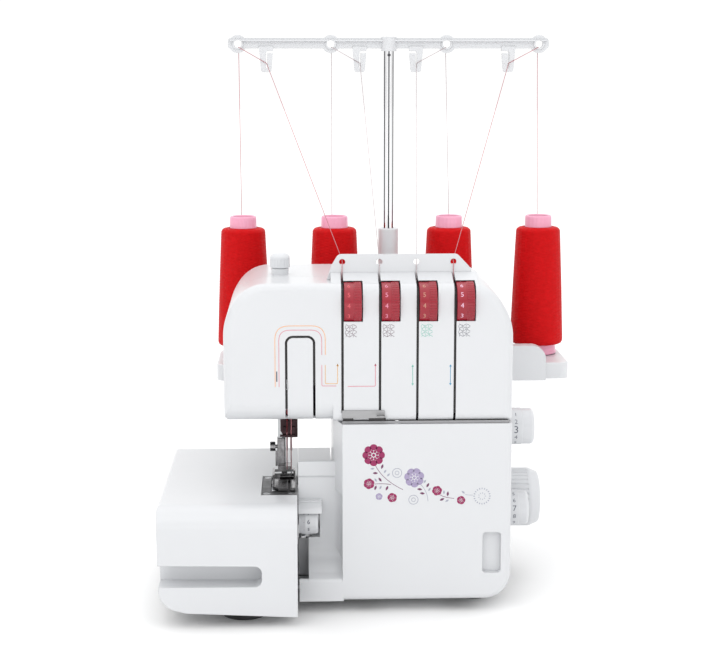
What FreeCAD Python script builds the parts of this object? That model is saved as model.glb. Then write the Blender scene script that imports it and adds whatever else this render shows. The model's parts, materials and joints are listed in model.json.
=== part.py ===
"""Domestic four-thread overlock machine, built piece by piece.

Frame: millimetres, +X to the operator's right, +Y away from the operator, +Z up. The origin is on the
table under the middle of the whole machine, thread stand included. Each function below makes one
sub-part; main() writes one STEP file for each.
"""

import FreeCAD, Part
import math
import os

V = FreeCAD.Vector

# ---------------------------------------------------------------- driving dimensions
WALL = 2.5                                  # moulded casing wall
GAP = 0.4                                   # clearance between neighbouring casings

BED_Z = 101.5                               # sewing surface
HEAD_X0, HEAD_X1 = -129.0, 111.0            # head, left and right ends
HEAD_Z0, HEAD_Z1 = 165.0, 280.5             # head, underside and top
HEAD_Y0, HEAD_Y1 = -103.0, 36.0             # head, front and rear faces
HEAD_SPLIT_Y = -54.0                        # parting line of the two head casings
COLUMN_X0 = -38.0                           # left wall of the column
COLUMN_Y0 = -72.8                           # where the front cover meets the column casing
BASE_Z0, BASE_Z1 = 11.0, 15.0               # base plate
PLATE_Y0 = -72.0                            # its front edge under the column

COVER_Y = -104.0                            # front face of the looper cover
COVER_X0, COVER_X1 = -67.4, 111.0
COVER_Z0, COVER_Z1 = 10.5, 163.2
SCOOP_X1 = -31.0                            # right wall of the chute in the looper cover
HINGE_Y, HINGE_Z, HINGE_R = -92.0, 18.0, 2.5
COVER_SLIDE = 8.0                           # sideways travel that frees the looper cover
LUG_XS = (-6.0, 74.0)                       # hinge lugs on the base plate
LUG_W = 8.0

ARM_COVER_X0, ARM_COVER_X1 = -184.0, -68.7  # slide-off table over the free arm
ARM_COVER_Y0, ARM_COVER_Y1 = -138.0, 71.0
ARM_COVER_NOSE_R = 18.0

SLOT_XS = (-30.7, 0.3, 31.3, 62.3)          # thread channels down the front of the head
SLOT_W = 2.0
SLOT_TOP_Y = -76.5                          # where each channel starts on top of the head
DIAL_Y, DIAL_Z, DIAL_R, DIAL_W = -90.0, 263.0, 18.0, 14.8
RAMP_Y0, RAMP_Y1, RAMP_Z0, RAMP_Z1 = -101.0, -76.5, 279.0, 287.0
RAMP_X0, RAMP_X1 = -40.0, 82.0

UNDERCUT_R = 16.0                           # rounding under the front of the overhanging head
UNDERCUT_X1 = -38.6                         # where that rounding stops, over the column

NEEDLE_X, NEEDLE_Y = -75.6, -52.0
PRESSER_X, PRESSER_Y = -82.5, -39.0
SHAFT_Y, SHAFT_Z = 0.0, 71.5                # handwheel and main shaft
MOTOR_Y, MOTOR_Z = 2.0, 132.0
MAIN_PULLEY_R, MOTOR_PULLEY_R = 22.0, 7.0
PULLEY_X0, PULLEY_X1 = 91.0, 103.0

STAND_X0, STAND_X1 = -142.5, 182.5
STAND_Y0, STAND_Y1 = 45.0, 138.0
STAND_Z0, STAND_Z1 = 171.0, 186.0
STAND_CX = 20.0
CONE_Y = 98.0
CONE_XS = tuple(STAND_CX + d for d in (-138.5, -53.0, 54.5, 139.0))
CONE_TOP_Z = 317.5

POLE_X, POLE_Y, POLE_R = 17.5, 98.0, 5.0
SLEEVE_TOP_Z = 306.0
BAR_Z0, BAR_Z1 = 471.0, 481.5
EYE_XS = tuple(POLE_X + d for d in (-139.0, -53.5, 53.5, 139.0))
HOOK_XS = tuple(POLE_X + d for d in (-113.0, -27.0, 25.0, 110.5))
EYE_Z, EYE_R, EYE_HOLE_R = 476.0, 8.2, 3.5
HOOK_Z0 = 450.5
THREAD_R = 0.3

GUIDE_Y0, GUIDE_Y1 = -76.3, -73.8           # upright thread guide plate on top of the head
GUIDE_Z1 = 302.0
GUIDE_HOLE_Z, GUIDE_HOLE_R = 295.5, 2.6

FOOT_PLACES = ((-113.5, -100.0, 20.0), (-113.5, 46.0, 15.0), (84.0, -58.0, 15.0),
               (84.0, 14.0, 15.0))           # x, y and radius of each rubber foot
GRIP_REAR_Y = -117.0                         # back wall of the finger grip in the arm cover
WIDTH_DIAL_Y, WIDTH_DIAL_Z, WIDTH_DIAL_R = -88.0, 77.0, 12.0
WIDTH_DIAL_X1 = -51.2
PLATE_SCREWS = ((-94.5, -91.0), (-73.0, -91.0), (-94.5, -38.5))    # x, y
FEED_ROWS = ((-90.6, -88.0), (-86.4, -84.6))                 # x0, x1 of each row of teeth

COVER_OUTLINE = [(SCOOP_X1, COVER_Z1), (COVER_X1, COVER_Z1), (COVER_X1, COVER_Z0, 22), (SCOOP_X1, COVER_Z0)]
FINGER = (87.0, 102.5, 34.0, 69.5)          # finger recess: x0, x1, z0, z1
FINGER_DEPTH = 6.0
CHUTE_X0 = -59.5                            # left side of the waste chute
WING_X0, WING_Y, WING_Z1 = -68.0, -80.5, 126.5     # guard in front of the knife: left side, front face, top
LENGTH_DIAL = (-50.0, 148.5)                # y, z of the stitch length dial
RATIO_DIAL = (-52.0, 76.0)                  # y, z of the differential feed dial
INLET = (-31.0, -7.0, 22.0, 38.0)           # y0, y1, z0, z1 of the mains inlet
SWITCH = (6.0, 27.0, 24.0, 36.0)            # y0, y1, z0, z1 of the power switch
REAR_SCREWS_COLUMN = ((-28.0, 30.0), (98.0, 36.0), (-28.0, 150.0), (98.0, 150.0))
REAR_SCREWS_HEAD = ((-112.0, 182.0), (-112.0, 240.0), (0.0, 268.0), (94.0, 240.0))

HEAD_OUTLINE = [(HEAD_X0, HEAD_Z0, 7), (HEAD_X1, HEAD_Z0, 1.5), (HEAD_X1, 249, 50), (91.0, HEAD_Z1, 32),
                (-110.0, HEAD_Z1, 32), (HEAD_X0, 252, 50)]
NOSE_R = 7.0                                # round edge of the head's front face
NEEDLE_PANEL = (-77.1, -54.1, 237.1)        # left leg, right leg and top of the U, along its middle
U_SLOT_W = 2.0
LAMP_X, LAMP_Y = -112.0, -38.0
SHAFT_R = 5.0
MOTOR_R = 21.0

NEEDLE_XS = (NEEDLE_X - 2.0, NEEDLE_X + 1.6)
SPRING_Z0, SPRING_Z1 = 210.0, 243.4
FOOT_PIN_Y, FOOT_PIN_Z = -37.5, 107.4      # pin that the presser foot tips on
LIFTER_Y, LIFTER_Z = 44.5, 206.0
LOWER_PIVOT = (-40.0, 32.0)                 # x, z
UPPER_PIVOT = (-26.0, 52.0)
WALL_X0, WALL_X1 = -122.0, 159.5            # raised front wall of the stand
WALL_TOP_Z = 203.5
STAND_SCREWS = ((-60.0, 195.0), (20.0, 195.0), (84.0, 195.0))
TUBE_R0, TUBE_R1 = 18.6, 12.2               # outside radius at the foot and at the top ring
TUBE_Z0 = 186.4


# ---------------------------------------------------------------- small makers
def box(x0, x1, y0, y1, z0, z1):
    return Part.makeBox(x1 - x0, y1 - y0, z1 - z0, V(x0, y0, z0))


def cyl_x(y, z, r, x0, x1):
    return Part.makeCylinder(r, x1 - x0, V(x0, y, z), V(1, 0, 0))


def cyl_y(x, z, r, y0, y1):
    return Part.makeCylinder(r, y1 - y0, V(x, y0, z), V(0, 1, 0))


def cyl_z(x, y, r, z0, z1):
    return Part.makeCylinder(r, z1 - z0, V(x, y, z0), V(0, 0, 1))


def cone_z(x, y, r0, r1, z0, z1):
    return Part.makeCone(r0, r1, z1 - z0, V(x, y, z0), V(0, 0, 1))


def place(plane, a, b, level):
    """A point from two outline coordinates and the level of the outline's plane."""
    if plane == "xz":
        return V(a, level, b)
    if plane == "yz":
        return V(level, a, b)
    return V(a, b, level)


def corner(before, at, after, radius):
    """Start, middle and end of the arc that rounds one corner of an outline."""
    ua = (before[0] - at[0], before[1] - at[1])
    ub = (after[0] - at[0], after[1] - at[1])
    la, lb = math.hypot(*ua), math.hypot(*ub)
    ua, ub = (ua[0] / la, ua[1] / la), (ub[0] / lb, ub[1] / lb)
    half = math.acos(max(-1.0, min(1.0, ua[0] * ub[0] + ua[1] * ub[1]))) / 2
    back = radius / math.tan(half)
    start = (at[0] + ua[0] * back, at[1] + ua[1] * back)
    end = (at[0] + ub[0] * back, at[1] + ub[1] * back)
    bisector = (ua[0] + ub[0], ua[1] + ub[1])
    length = math.hypot(*bisector)
    reach = radius / math.sin(half) - radius
    middle = (at[0] + bisector[0] / length * reach, at[1] + bisector[1] / length * reach)
    return start, middle, end


def outline(points, plane, level):
    """A closed wire through (a, b) or (a, b, corner radius) points."""
    count = len(points)
    edges = []
    ends = []
    for i, p in enumerate(points):
        if len(p) > 2 and p[2] > 0:
            start, middle, end = corner(points[i - 1], p, points[(i + 1) % count], p[2])
            arc = Part.Arc(*(place(plane, *q, level) for q in (start, middle, end))).toShape()
            ends.append((start, end, arc))
        else:
            ends.append((p[:2], p[:2], None))
    for i, (start, end, arc) in enumerate(ends):
        if arc is not None:
            edges.append(arc)
        following = ends[(i + 1) % count][0]
        if math.hypot(following[0] - end[0], following[1] - end[1]) > 1e-6:
            edges.append(Part.makeLine(place(plane, *end, level), place(plane, *following, level)))
    return Part.Wire(edges)


def prism(points, plane, low, high):
    """An outline pushed from one level of its plane's normal to another."""
    face = Part.Face(outline(points, plane, low))
    return face.extrude(place(plane, 0, 0, high - low))


def inset(points, depth):
    """The outline moved inwards by depth, with its corner radii kept concentric."""
    count = len(points)
    area = sum(points[i - 1][0] * p[1] - p[0] * points[i - 1][1] for i, p in enumerate(points))
    turn = 1 if area > 0 else -1
    moved = []
    for i, p in enumerate(points):
        a, b = points[i - 1], points[(i + 1) % count]
        d1, d2 = (p[0] - a[0], p[1] - a[1]), (b[0] - p[0], b[1] - p[1])
        l1, l2 = math.hypot(*d1), math.hypot(*d2)
        n1 = (-d1[1] / l1 * turn, d1[0] / l1 * turn)
        n2 = (-d2[1] / l2 * turn, d2[0] / l2 * turn)
        share = depth / (1 + n1[0] * n2[0] + n1[1] * n2[1])
        convex = (d1[0] * d2[1] - d1[1] * d2[0]) * turn > 0
        radius = p[2] if len(p) > 2 else 0
        radius = max(radius - depth, 0.4) if convex and radius else (radius + depth if radius else 0)
        moved.append((p[0] + (n1[0] + n2[0]) * share, p[1] + (n1[1] + n2[1]) * share, radius))
    return moved


def rounded(solid, radius, chosen):
    """The solid with a fillet on every edge that chosen() picks by its two end points."""
    edges = [e for e in solid.Edges if chosen([v.Point for v in e.Vertexes])]
    return solid.makeFillet(radius, edges)


def union(first, *others):
    return first.fuse(list(others)).removeSplitter() if others else first


def group(*solids):
    return Part.makeCompound(list(solids))


def revolve_z(x, y, profile):
    """A body of revolution about a vertical axis, from (radius, z) or (radius, z, corner radius)."""
    face = Part.Face(outline(profile, "xz", 0))
    turned = face.revolve(V(0, 0, 0), V(0, 0, 1), 360)
    turned.translate(V(x, y, 0))
    return turned


def revolve_x(y, z, profile):
    """A body of revolution about an axis along X, from (radius, x) or (radius, x, corner radius)."""
    turned = revolve_z(0, 0, profile)
    turned.rotate(V(0, 0, 0), V(0, 1, 0), 90)
    turned.translate(V(0, y, z))
    return turned


def screw_y(x, z, y_head, r, length, facing):
    """A pan-head screw along Y with a cross slot; facing is -1 with its head to the front, +1 to the rear."""
    ends = sorted((y_head, y_head - facing * 2.2))
    head = cyl_y(x, z, r * 1.9, *ends)
    shank_ends = sorted((y_head - facing * 2.2, y_head - facing * (2.2 + length)))
    shank = cyl_y(x, z, r, *shank_ends)
    slot_y = sorted((y_head, y_head - facing * 1.2))
    cross = union(box(x - r * 1.3, x + r * 1.3, *slot_y, z - 0.4, z + 0.4),
                  box(x - 0.4, x + 0.4, *slot_y, z - r * 1.3, z + r * 1.3))
    return union(head, shank).cut(cross)


# ---------------------------------------------------------------- base and feet


def base_plate():
    plate = prism([(-160, -127, 14), (-70, -127, 4), (-70, PLATE_Y0, 4), (106, PLATE_Y0, 8), (106, 34, 8),
                   (-40, 34, 4), (-40, 66, 6), (-160, 66, 14)], "xy", BASE_Z0, BASE_Z1)
    ribs = [box(-150, 96, y, y + 2.5, BASE_Z1, BASE_Z1 + 5) for y in (-66, -20)]
    lugs = [box(x - LUG_W / 2, x + LUG_W / 2, -96.0, PLATE_Y0 + 4, BASE_Z0, 23.0) for x in LUG_XS]
    plate = union(plate, *ribs, *lugs)
    # The ribs stop short of the frame's web and of the column wall.
    plate = plate.cut(box(-0.4, 12.4, -48.4, 26.4, BASE_Z1, BASE_Z1 + 6))
    plate = plate.cut(box(COLUMN_X0 - 0.5, COLUMN_X0 + WALL + 0.4, PLATE_Y0 + 5, 40, BASE_Z1, BASE_Z1 + 6))
    for x in LUG_XS:
        plate = plate.cut(cyl_x(HINGE_Y, HINGE_Z, HINGE_R + 0.05, x - LUG_W, x + LUG_W))
    for x, y, _ in FOOT_PLACES:
        plate = plate.cut(cyl_z(x, y, 2.6, BASE_Z0 - 1, BASE_Z1 + 8))
    return plate


def rubber_feet():
    made = []
    for x, y, r in FOOT_PLACES:
        foot = revolve_z(x, y, [(0, 0), (r, 0, 1.5), (r - 2.5, BASE_Z0, 1.0), (0, BASE_Z0)])
        made.append(union(foot, cyl_z(x, y, 2.5, BASE_Z0 - 1, BASE_Z1 + 1)))
    return group(*made)


# ---------------------------------------------------------------- free arm and its slide-off cover
def free_arm_casing():
    arm = rounded(box(-158, -68.6, -100, 24, 60, 98.4), 5,
                  lambda p: all(abs(q.x + 158) < 1e-3 for q in p))
    neck = box(-68.6, -39, -44, 24, 60, 98.4)
    legs = [box(-100, -70, y, y + 8, BASE_Z1, 62) for y in (-98, -4)]
    arm = union(arm, neck).cut(box(-156, -72, -97.5, 21.5, 62.5, 95.9))
    arm = union(arm, *legs)
    arm = arm.cut(box(-93, -71.5, -84, -39.5, 95, 99))
    arm = arm.cut(box(-95, -60, -64, -48, 50, 95.9))
    arm = arm.cut(box(-74, -60, -66, -48, 50, 99))
    arm = arm.cut(cyl_x(WIDTH_DIAL_Y, WIDTH_DIAL_Z, 3.05, -80, -60))
    for x, y in PLATE_SCREWS:
        arm = arm.cut(cyl_z(x, y, 1.6, 90, 100))
    return arm


def needle_plate():
    plate = box(-98.6, -69.2, -96, -34, 98.5, 101.3)
    plate = rounded(plate, 1.5, lambda p: abs(p[0].x - p[-1].x) < 1e-3 and abs(p[0].y - p[-1].y) < 1e-3)
    plate = plate.cut(box(-83.5, -71.5, -57, -47, 98, 102))
    for x0, x1 in FEED_ROWS:
        plate = plate.cut(box(x0 - 0.6, x1 + 0.6, -83, -60, 98, 102))
        plate = plate.cut(box(x0 - 0.6, x1 + 0.6, -58, -40, 98, 102))
    for x, y in PLATE_SCREWS:
        plate = plate.cut(cyl_z(x, y, 1.7, 98, 102)).cut(cone_z(x, y, 1.7, 3.2, 99.8, 101.3))
    return plate


def needle_plate_screws():
    made = []
    for x, y in PLATE_SCREWS:
        body = union(cone_z(x, y, 1.55, 3.1, 99.85, 101.3), cyl_z(x, y, 1.55, 91, 99.85))
        made.append(body.cut(box(x - 3.2, x + 3.2, y - 0.4, y + 0.4, 100.5, 101.4)))
    return group(*made)


def feed_dog(y0, y1, stem_y):
    """A toothed bar for each row, on one carrier under the needle plate."""
    pieces = []
    for x0, x1 in FEED_ROWS:
        bar = box(x0, x1, y0, y1, 93.0, 100.6)
        teeth = int((y1 - y0) / 1.6)
        for i in range(teeth):
            notch_y = y0 + (i + 1) * (y1 - y0) / (teeth + 1)
            notch = prism([(notch_y - 0.7, 101), (notch_y + 0.7, 101), (notch_y, 99.4)], "yz", x0 - 1,
                          x1 + 1)
            bar = bar.cut(notch)
        pieces.append(bar)
    carrier = box(FEED_ROWS[0][0], FEED_ROWS[1][1], y0, y1, 90.0, 93.5)
    stem = box(-89.5, -86.0, stem_y, stem_y + 6, 66.5, 90.5)
    return union(carrier, stem, *pieces)


def main_feed_dog():
    return feed_dog(-55.5, -42.5, -55.0)


def differential_feed_dog():
    return feed_dog(-80.5, -62.5, -78.0)


def free_arm_cover():
    x0, x1, y0, y1 = ARM_COVER_X0, ARM_COVER_X1, ARM_COVER_Y0, ARM_COVER_Y1
    front = [(x0, BED_Z, 4), (x1, BED_Z), (x1, 8.8), (x0 + 24, 13.2, 10), (x0 + 1.5, 19.0, 18)]
    side = [(y0, BED_Z, ARM_COVER_NOSE_R), (y1, BED_Z, 3), (y1, 14, 5), (y1 - 6, 0), (y0, 0)]
    outer = prism(front, "xz", y0, y1).common(prism(side, "yz", x0 - 5, x1 + 5))
    inner_front = inset(front, WALL)
    inner_front = [(x1 + 5 if p[0] > -90 else p[0], -5 if p[0] > -90 and p[1] < 40 else p[1]) + tuple(p[2:])
                   for p in inner_front]
    inner_front[-2] = (x0 + 22, -5)
    inner_front[-1] = (x0 + 4.5, 5, 4)
    inner_side = [(y0 + WALL, BED_Z - WALL, ARM_COVER_NOSE_R - WALL), (y1 - WALL, BED_Z - WALL, 2),
                  (y1 - WALL, -5), (y0 + WALL, -5)]
    inner = prism(inner_front, "xz", y0 - 5, y1 + 5).common(prism(inner_side, "yz", x0 - 5, x1 + 10))
    shell = outer.cut(inner)
    # Finger grip: a pocket in the front wall that runs out through the left wall.
    grip = [(x0 - 6, 35.5), (-98, 35.0, 6), (-98, 52.5, 6), (x0 - 6, 54.0)]
    pocket = prism(grip, "xz", y0 - 1, GRIP_REAR_Y)
    housing = prism([(x0, 33.0), (-95.5, 32.5, 8), (-95.5, 55.0, 8), (x0, 56.5)], "xz",
                    y0 + 1, GRIP_REAR_Y + WALL).common(outer)
    shell = union(shell, housing).cut(pocket)
    return shell.cut(box(-99.1, -60, -96.5, -33.5, 95, 105))


def stitch_width_dial():
    y, z, r = WIDTH_DIAL_Y, WIDTH_DIAL_Z, WIDTH_DIAL_R
    dial = revolve_x(y, z, [(0, -67.8), (r - 1.2, -67.8, 0.6), (r, -62, 1), (r - 0.8, WIDTH_DIAL_X1, 2.0),
                            (0, WIDTH_DIAL_X1)])
    for k in range(20):
        angle = math.radians(18 * k)
        rib_y, rib_z = y + (r + 0.5) * math.cos(angle), z + (r + 0.5) * math.sin(angle)
        dial = dial.cut(cyl_x(rib_y, rib_z, 0.9, -58.5, -50))
    return union(dial, cyl_x(y, z, 3.0, -79, -67))


# ---------------------------------------------------------------- bed behind the needle plate, chute
def bed_deck():
    """Table right of the needle plate, from the rear wall forward to the looper space."""
    deck = box(-68.3, COLUMN_X0 - GAP, -46, ARM_COVER_Y1, BED_Z - WALL, BED_Z)
    rear = box(-68.3, COLUMN_X0 - GAP, ARM_COVER_Y1 - WALL, ARM_COVER_Y1, BASE_Z1, BED_Z)
    rib = box(-68.3, -65.8, 40, ARM_COVER_Y1, BASE_Z1, BED_Z)
    return rounded(union(deck, rear, rib), 2.0,
                   lambda p: all(abs(q.y - ARM_COVER_Y1) < 1e-3 and abs(q.z - BED_Z) < 1e-3 for q in p))


# ---------------------------------------------------------------- looper cover


def front_cover():
    y0, depth = COVER_Y, COLUMN_Y0 - 2.2
    outer = prism(COVER_OUTLINE, "xz", y0, depth)
    outer = rounded(outer, 5, lambda p: all(abs(q.y - y0) < 1e-3 for q in p)
                    and max(q.x for q in p) > COVER_X1 - 23 and min(q.z for q in p) < COVER_Z1 - 1)
    inner = prism([(SCOOP_X1 + WALL, COVER_Z1 + 5), (COVER_X1 - WALL, COVER_Z1 + 5),
                   (COVER_X1 - WALL, COVER_Z0 + WALL, 19.5), (SCOOP_X1 + WALL, COVER_Z0 + WALL)],
                  "xz", y0 + WALL, depth + 5)
    shell = outer.cut(inner)
    # Slanted return of the left edge, from the face back to the column wall above the bed.
    slant = prism([(SCOOP_X1 + 0.1, y0 + 0.05), (SCOOP_X1 + 4, y0 + 0.05), (COLUMN_X0 + WALL, depth),
                   (COLUMN_X0, depth)], "xy", BED_Z + 0.5, COVER_Z1)
    shell = union(shell, slant)
    # Wing left of the face: a guard in front of the knife that runs down into a waste chute.
    guard = prism([(WING_Y, 92), (WING_Y, 112.5, 3), (WING_Y - 1.2, 114), (WING_Y - 1.2, WING_Z1, 1),
                   (WING_Y + WALL, WING_Z1, 1), (WING_Y + WALL, 92)], "yz", WING_X0, SCOOP_X1 + 1)
    middle = box(WIDTH_DIAL_X1 + 1.3, SCOOP_X1 + 1, WING_Y, WING_Y + WALL, 55, 93)
    chute = prism([(y0, 20), (y0, 29.0, 3), (-96, 33.5, 12), (WING_Y, 46, 14), (WING_Y, 60),
                   (WING_Y + WALL, 60),
                   (WING_Y + WALL, 45, 12), (-94, 31.0, 10), (-101.5, 27.0, 2), (-101.5, 20)], "yz",
                  CHUTE_X0, SCOOP_X1 + 1)
    cove = box(SCOOP_X1 - 7, SCOOP_X1 + 1, WING_Y - 7, WING_Y + 0.5, 31, WING_Z1 - 12)
    cove = cove.cut(cyl_z(SCOOP_X1 - 7, WING_Y - 7, 7.0, 20, 130))
    face = prism([(y0, COVER_Z0), (y0, 29.0, 3), (-101.5, 30), (-101.5, COVER_Z0)], "yz", COVER_X0,
                 SCOOP_X1 + 1)
    lip = box(COVER_X0, SCOOP_X1 + 1, y0, -84.0, COVER_Z0, COVER_Z0 + WALL)
    # A brow over the stitch width dial.
    y, z, r = WIDTH_DIAL_Y, WIDTH_DIAL_Z, WIDTH_DIAL_R
    brow = cyl_x(y, z, r + 3.4, WING_X0, WIDTH_DIAL_X1 + 3).cut(cyl_x(y, z, r + 1.0, -80, -40))
    brow = brow.common(box(-70, -45, y - 30, y + 1.2, z + 9, z + 30))
    shelf = box(WING_X0, WIDTH_DIAL_X1 + 3, y + 0.5, WING_Y + WALL, z + r + 1.2, z + r + 4.4)
    shell = union(shell, guard, middle, chute, cove, face, lip, brow, shelf)
    # Finger recess.
    fx0, fx1, fz0, fz1 = FINGER
    recess = [(fx0, fz0, 3), (fx1, fz0, 3), (fx1, fz1, 3), (fx0, fz1, 3)]
    pan = prism(inset(recess, -WALL), "xz", y0 + 1, y0 + FINGER_DEPTH + WALL)
    shell = union(shell, pan).cut(prism(recess, "xz", y0 - 1, y0 + FINGER_DEPTH))
    # Knuckles on the hinge bar, and room in the lower wall for the lugs of the base plate.
    for x in LUG_XS:
        shell = shell.cut(box(x - LUG_W / 2 - COVER_SLIDE - 1.5, x + LUG_W / 2 + 1.5, -100.0, -70, 5, 30))
        k0, k1 = x + LUG_W / 2 + 2.0, x + LUG_W / 2 + 10.0
        knuckle = union(cyl_x(HINGE_Y, HINGE_Z, 5.0, k0, k1), box(k0, k1, -99.0, -88.0, 11.5, HINGE_Z))
        shell = union(shell, knuckle).cut(cyl_x(HINGE_Y, HINGE_Z, HINGE_R + 0.05, k0 - 1, k1 + 1))
    return shell


def cover_hinge_bar():
    return cyl_x(HINGE_Y, HINGE_Z, HINGE_R, LUG_XS[0] - 14, LUG_XS[1] + 17)


# ---------------------------------------------------------------- column casing
def column_housing():
    shape = [(COLUMN_X0, 16.0, 3), (HEAD_X1, 16.0, 14), (HEAD_X1, HEAD_Z0 - GAP), (COLUMN_X0, HEAD_Z0 - GAP)]
    outer = prism(shape, "xz", COLUMN_Y0, HEAD_Y1)
    outer = rounded(outer, 6, lambda p: all(abs(q.y - HEAD_Y1) < 1e-3 for q in p)
                    and min(q.z for q in p) < HEAD_Z0 - 5)
    core = [(COLUMN_X0 + WALL, 12.0), (HEAD_X1 - WALL, 12.0), (HEAD_X1 - WALL, HEAD_Z0 - 3),
            (COLUMN_X0 + WALL, HEAD_Z0 - 3)]
    shell = outer.cut(prism(core, "xz", COLUMN_Y0 - 5, HEAD_Y1 - WALL))
    shell = shell.cut(box(-30, 80, -60, 30, HEAD_Z0 - 4, HEAD_Z0 + 2))
    shell = shell.cut(box(COLUMN_X0 - 1, COLUMN_X0 + 4, -64, 28, 58, 100))
    shell = shell.cut(box(COLUMN_X0 - 1, COLUMN_X0 + 4, COLUMN_Y0 - 1, -47, 20, 100))
    for y, z, r in ((SHAFT_Y, SHAFT_Z, 8.3), (LENGTH_DIAL[0], LENGTH_DIAL[1], 4.2),
                    (RATIO_DIAL[0], RATIO_DIAL[1], 4.2)):
        shell = shell.cut(cyl_x(y, z, r, HEAD_X1 - 5, HEAD_X1 + 5))
    shell = shell.cut(box(HEAD_X1 - 5, HEAD_X1 + 5, INLET[0], INLET[1], INLET[2], INLET[3]))
    shell = shell.cut(box(HEAD_X1 - 5, HEAD_X1 + 5, SWITCH[0], SWITCH[1], SWITCH[2], SWITCH[3]))
    for x, z in REAR_SCREWS_COLUMN:
        shell = shell.cut(cyl_y(x, z, 1.8, HEAD_Y1 - 5, HEAD_Y1 + 1))
    for i in range(7):
        shell = shell.cut(box(12 + 9 * i, 15 + 9 * i, HEAD_Y1 - 4, HEAD_Y1 + 1, 112, 136))
    return shell


def side_dial(centre, r, x1, ribs):
    """A setting dial on the right wall, with fine grip ribs round the outer half of its rim."""
    y, z = centre
    x0 = HEAD_X1 + 0.4
    split = x0 + (x1 - x0) * 0.55
    dial = revolve_x(y, z, [(0, x0), (r, x0, 0.6), (r, split), (r - 0.5, split + 0.5), (r - 0.5, x1, 3.0),
                            (0, x1)])
    for k in range(ribs):
        angle = 2 * math.pi * k / ribs
        dial = dial.cut(cyl_x(y + r * math.cos(angle), z + r * math.sin(angle), 0.55, split + 0.6, x1 + 1))
    return union(dial, cyl_x(y, z, 4.0, HEAD_X1 - 14, x0 + 0.5))


def stitch_length_dial():
    return side_dial(LENGTH_DIAL, 16.0, 135.5, 30)


def differential_dial():
    return side_dial(RATIO_DIAL, 15.5, 131.5, 30)


def handwheel():
    y, z = SHAFT_Y, SHAFT_Z
    wheel = revolve_x(y, z, [(SHAFT_R, 113.2), (9, 113.2), (9, 117.0, 1), (26.2, 117.0, 2), (26.2, 139.5, 5),
                             (22.5, 148.0, 3), (SHAFT_R, 148.0)])
    for k in range(36):
        angle = math.radians(10 * k)
        wheel = wheel.cut(cyl_x(y + 26.6 * math.cos(angle), z + 26.6 * math.sin(angle), 1.0, 118, 137))
    return wheel.cut(revolve_x(y, z, [(SHAFT_R, 145.6), (18.5, 145.6, 1), (19.5, 149), (SHAFT_R, 149)]))


def main_shaft():
    y, z = SHAFT_Y, SHAFT_Z
    shaft = cyl_x(y, z, SHAFT_R, -34, 145.4)
    for x in (-22.0, -10.5):
        shaft = union(shaft, cyl_x(y + 3.0, z, 12.0, x, x + 7))
    return shaft


def main_pulley():
    y, z, r = SHAFT_Y, SHAFT_Z, MAIN_PULLEY_R
    wheel = revolve_x(y, z, [(SHAFT_R, PULLEY_X0), (r + 2, PULLEY_X0), (r + 2, PULLEY_X0 + 1.5),
                             (r, PULLEY_X0 + 1.5), (r, PULLEY_X1 - 1.5), (r + 2, PULLEY_X1 - 1.5),
                             (r + 2, PULLEY_X1), (SHAFT_R, PULLEY_X1)])
    for k in range(5):
        angle = math.radians(72 * k)
        wheel = wheel.cut(cyl_x(y + 13 * math.cos(angle), z + 13 * math.sin(angle), 4.0, 85, 110))
    return wheel


def bearing_bushes():
    """Bushes of the main shaft and of the two setting dials on the right wall."""
    y, z = SHAFT_Y, SHAFT_Z
    places = ((106.0, HEAD_X1 + 1.6), (12.1, 20.0), (-33.0, -24.2))
    made = [cyl_x(y, z, 8.2, x0, x1).cut(cyl_x(y, z, SHAFT_R + 0.03, x0 - 1, x1 + 1)) for x0, x1 in places]
    for y, z in (LENGTH_DIAL, RATIO_DIAL):
        made.append(cyl_x(y, z, 7.0, HEAD_X1 - 14, HEAD_X1 - WALL - 0.1).cut(cyl_x(y, z, 4.05, 90, 120)))
    return group(*made)


# ---------------------------------------------------------------- motor and belt


def motor():
    y, z = MOTOR_Y, MOTOR_Z
    can = revolve_x(y, z, [(0, 28), (MOTOR_R - 3, 28, 2), (MOTOR_R - 3, 33), (MOTOR_R, 33), (MOTOR_R, 78),
                           (MOTOR_R - 3, 78), (MOTOR_R - 3, 83, 2), (0, 83)])
    can = can.cut(cyl_x(y, z, 2.6, 60, 90))
    foot = box(40, 70, y - 10, y + 10, z - MOTOR_R - 5, z - MOTOR_R + 5)
    foot = foot.cut(cyl_x(y, z, MOTOR_R - 1, 30, 80))
    return union(can, foot)


def motor_rotor():
    y, z, r = MOTOR_Y, MOTOR_Z, MOTOR_PULLEY_R
    shaft = cyl_x(y, z, 2.5, 62, 104)
    wheel = revolve_x(y, z, [(0, PULLEY_X0), (r + 2, PULLEY_X0), (r + 2, PULLEY_X0 + 1.5),
                             (r, PULLEY_X0 + 1.5), (r, PULLEY_X1 - 1.5), (r + 2, PULLEY_X1 - 1.5),
                             (r + 2, PULLEY_X1), (0, PULLEY_X1)])
    return union(shaft, wheel)


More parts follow.
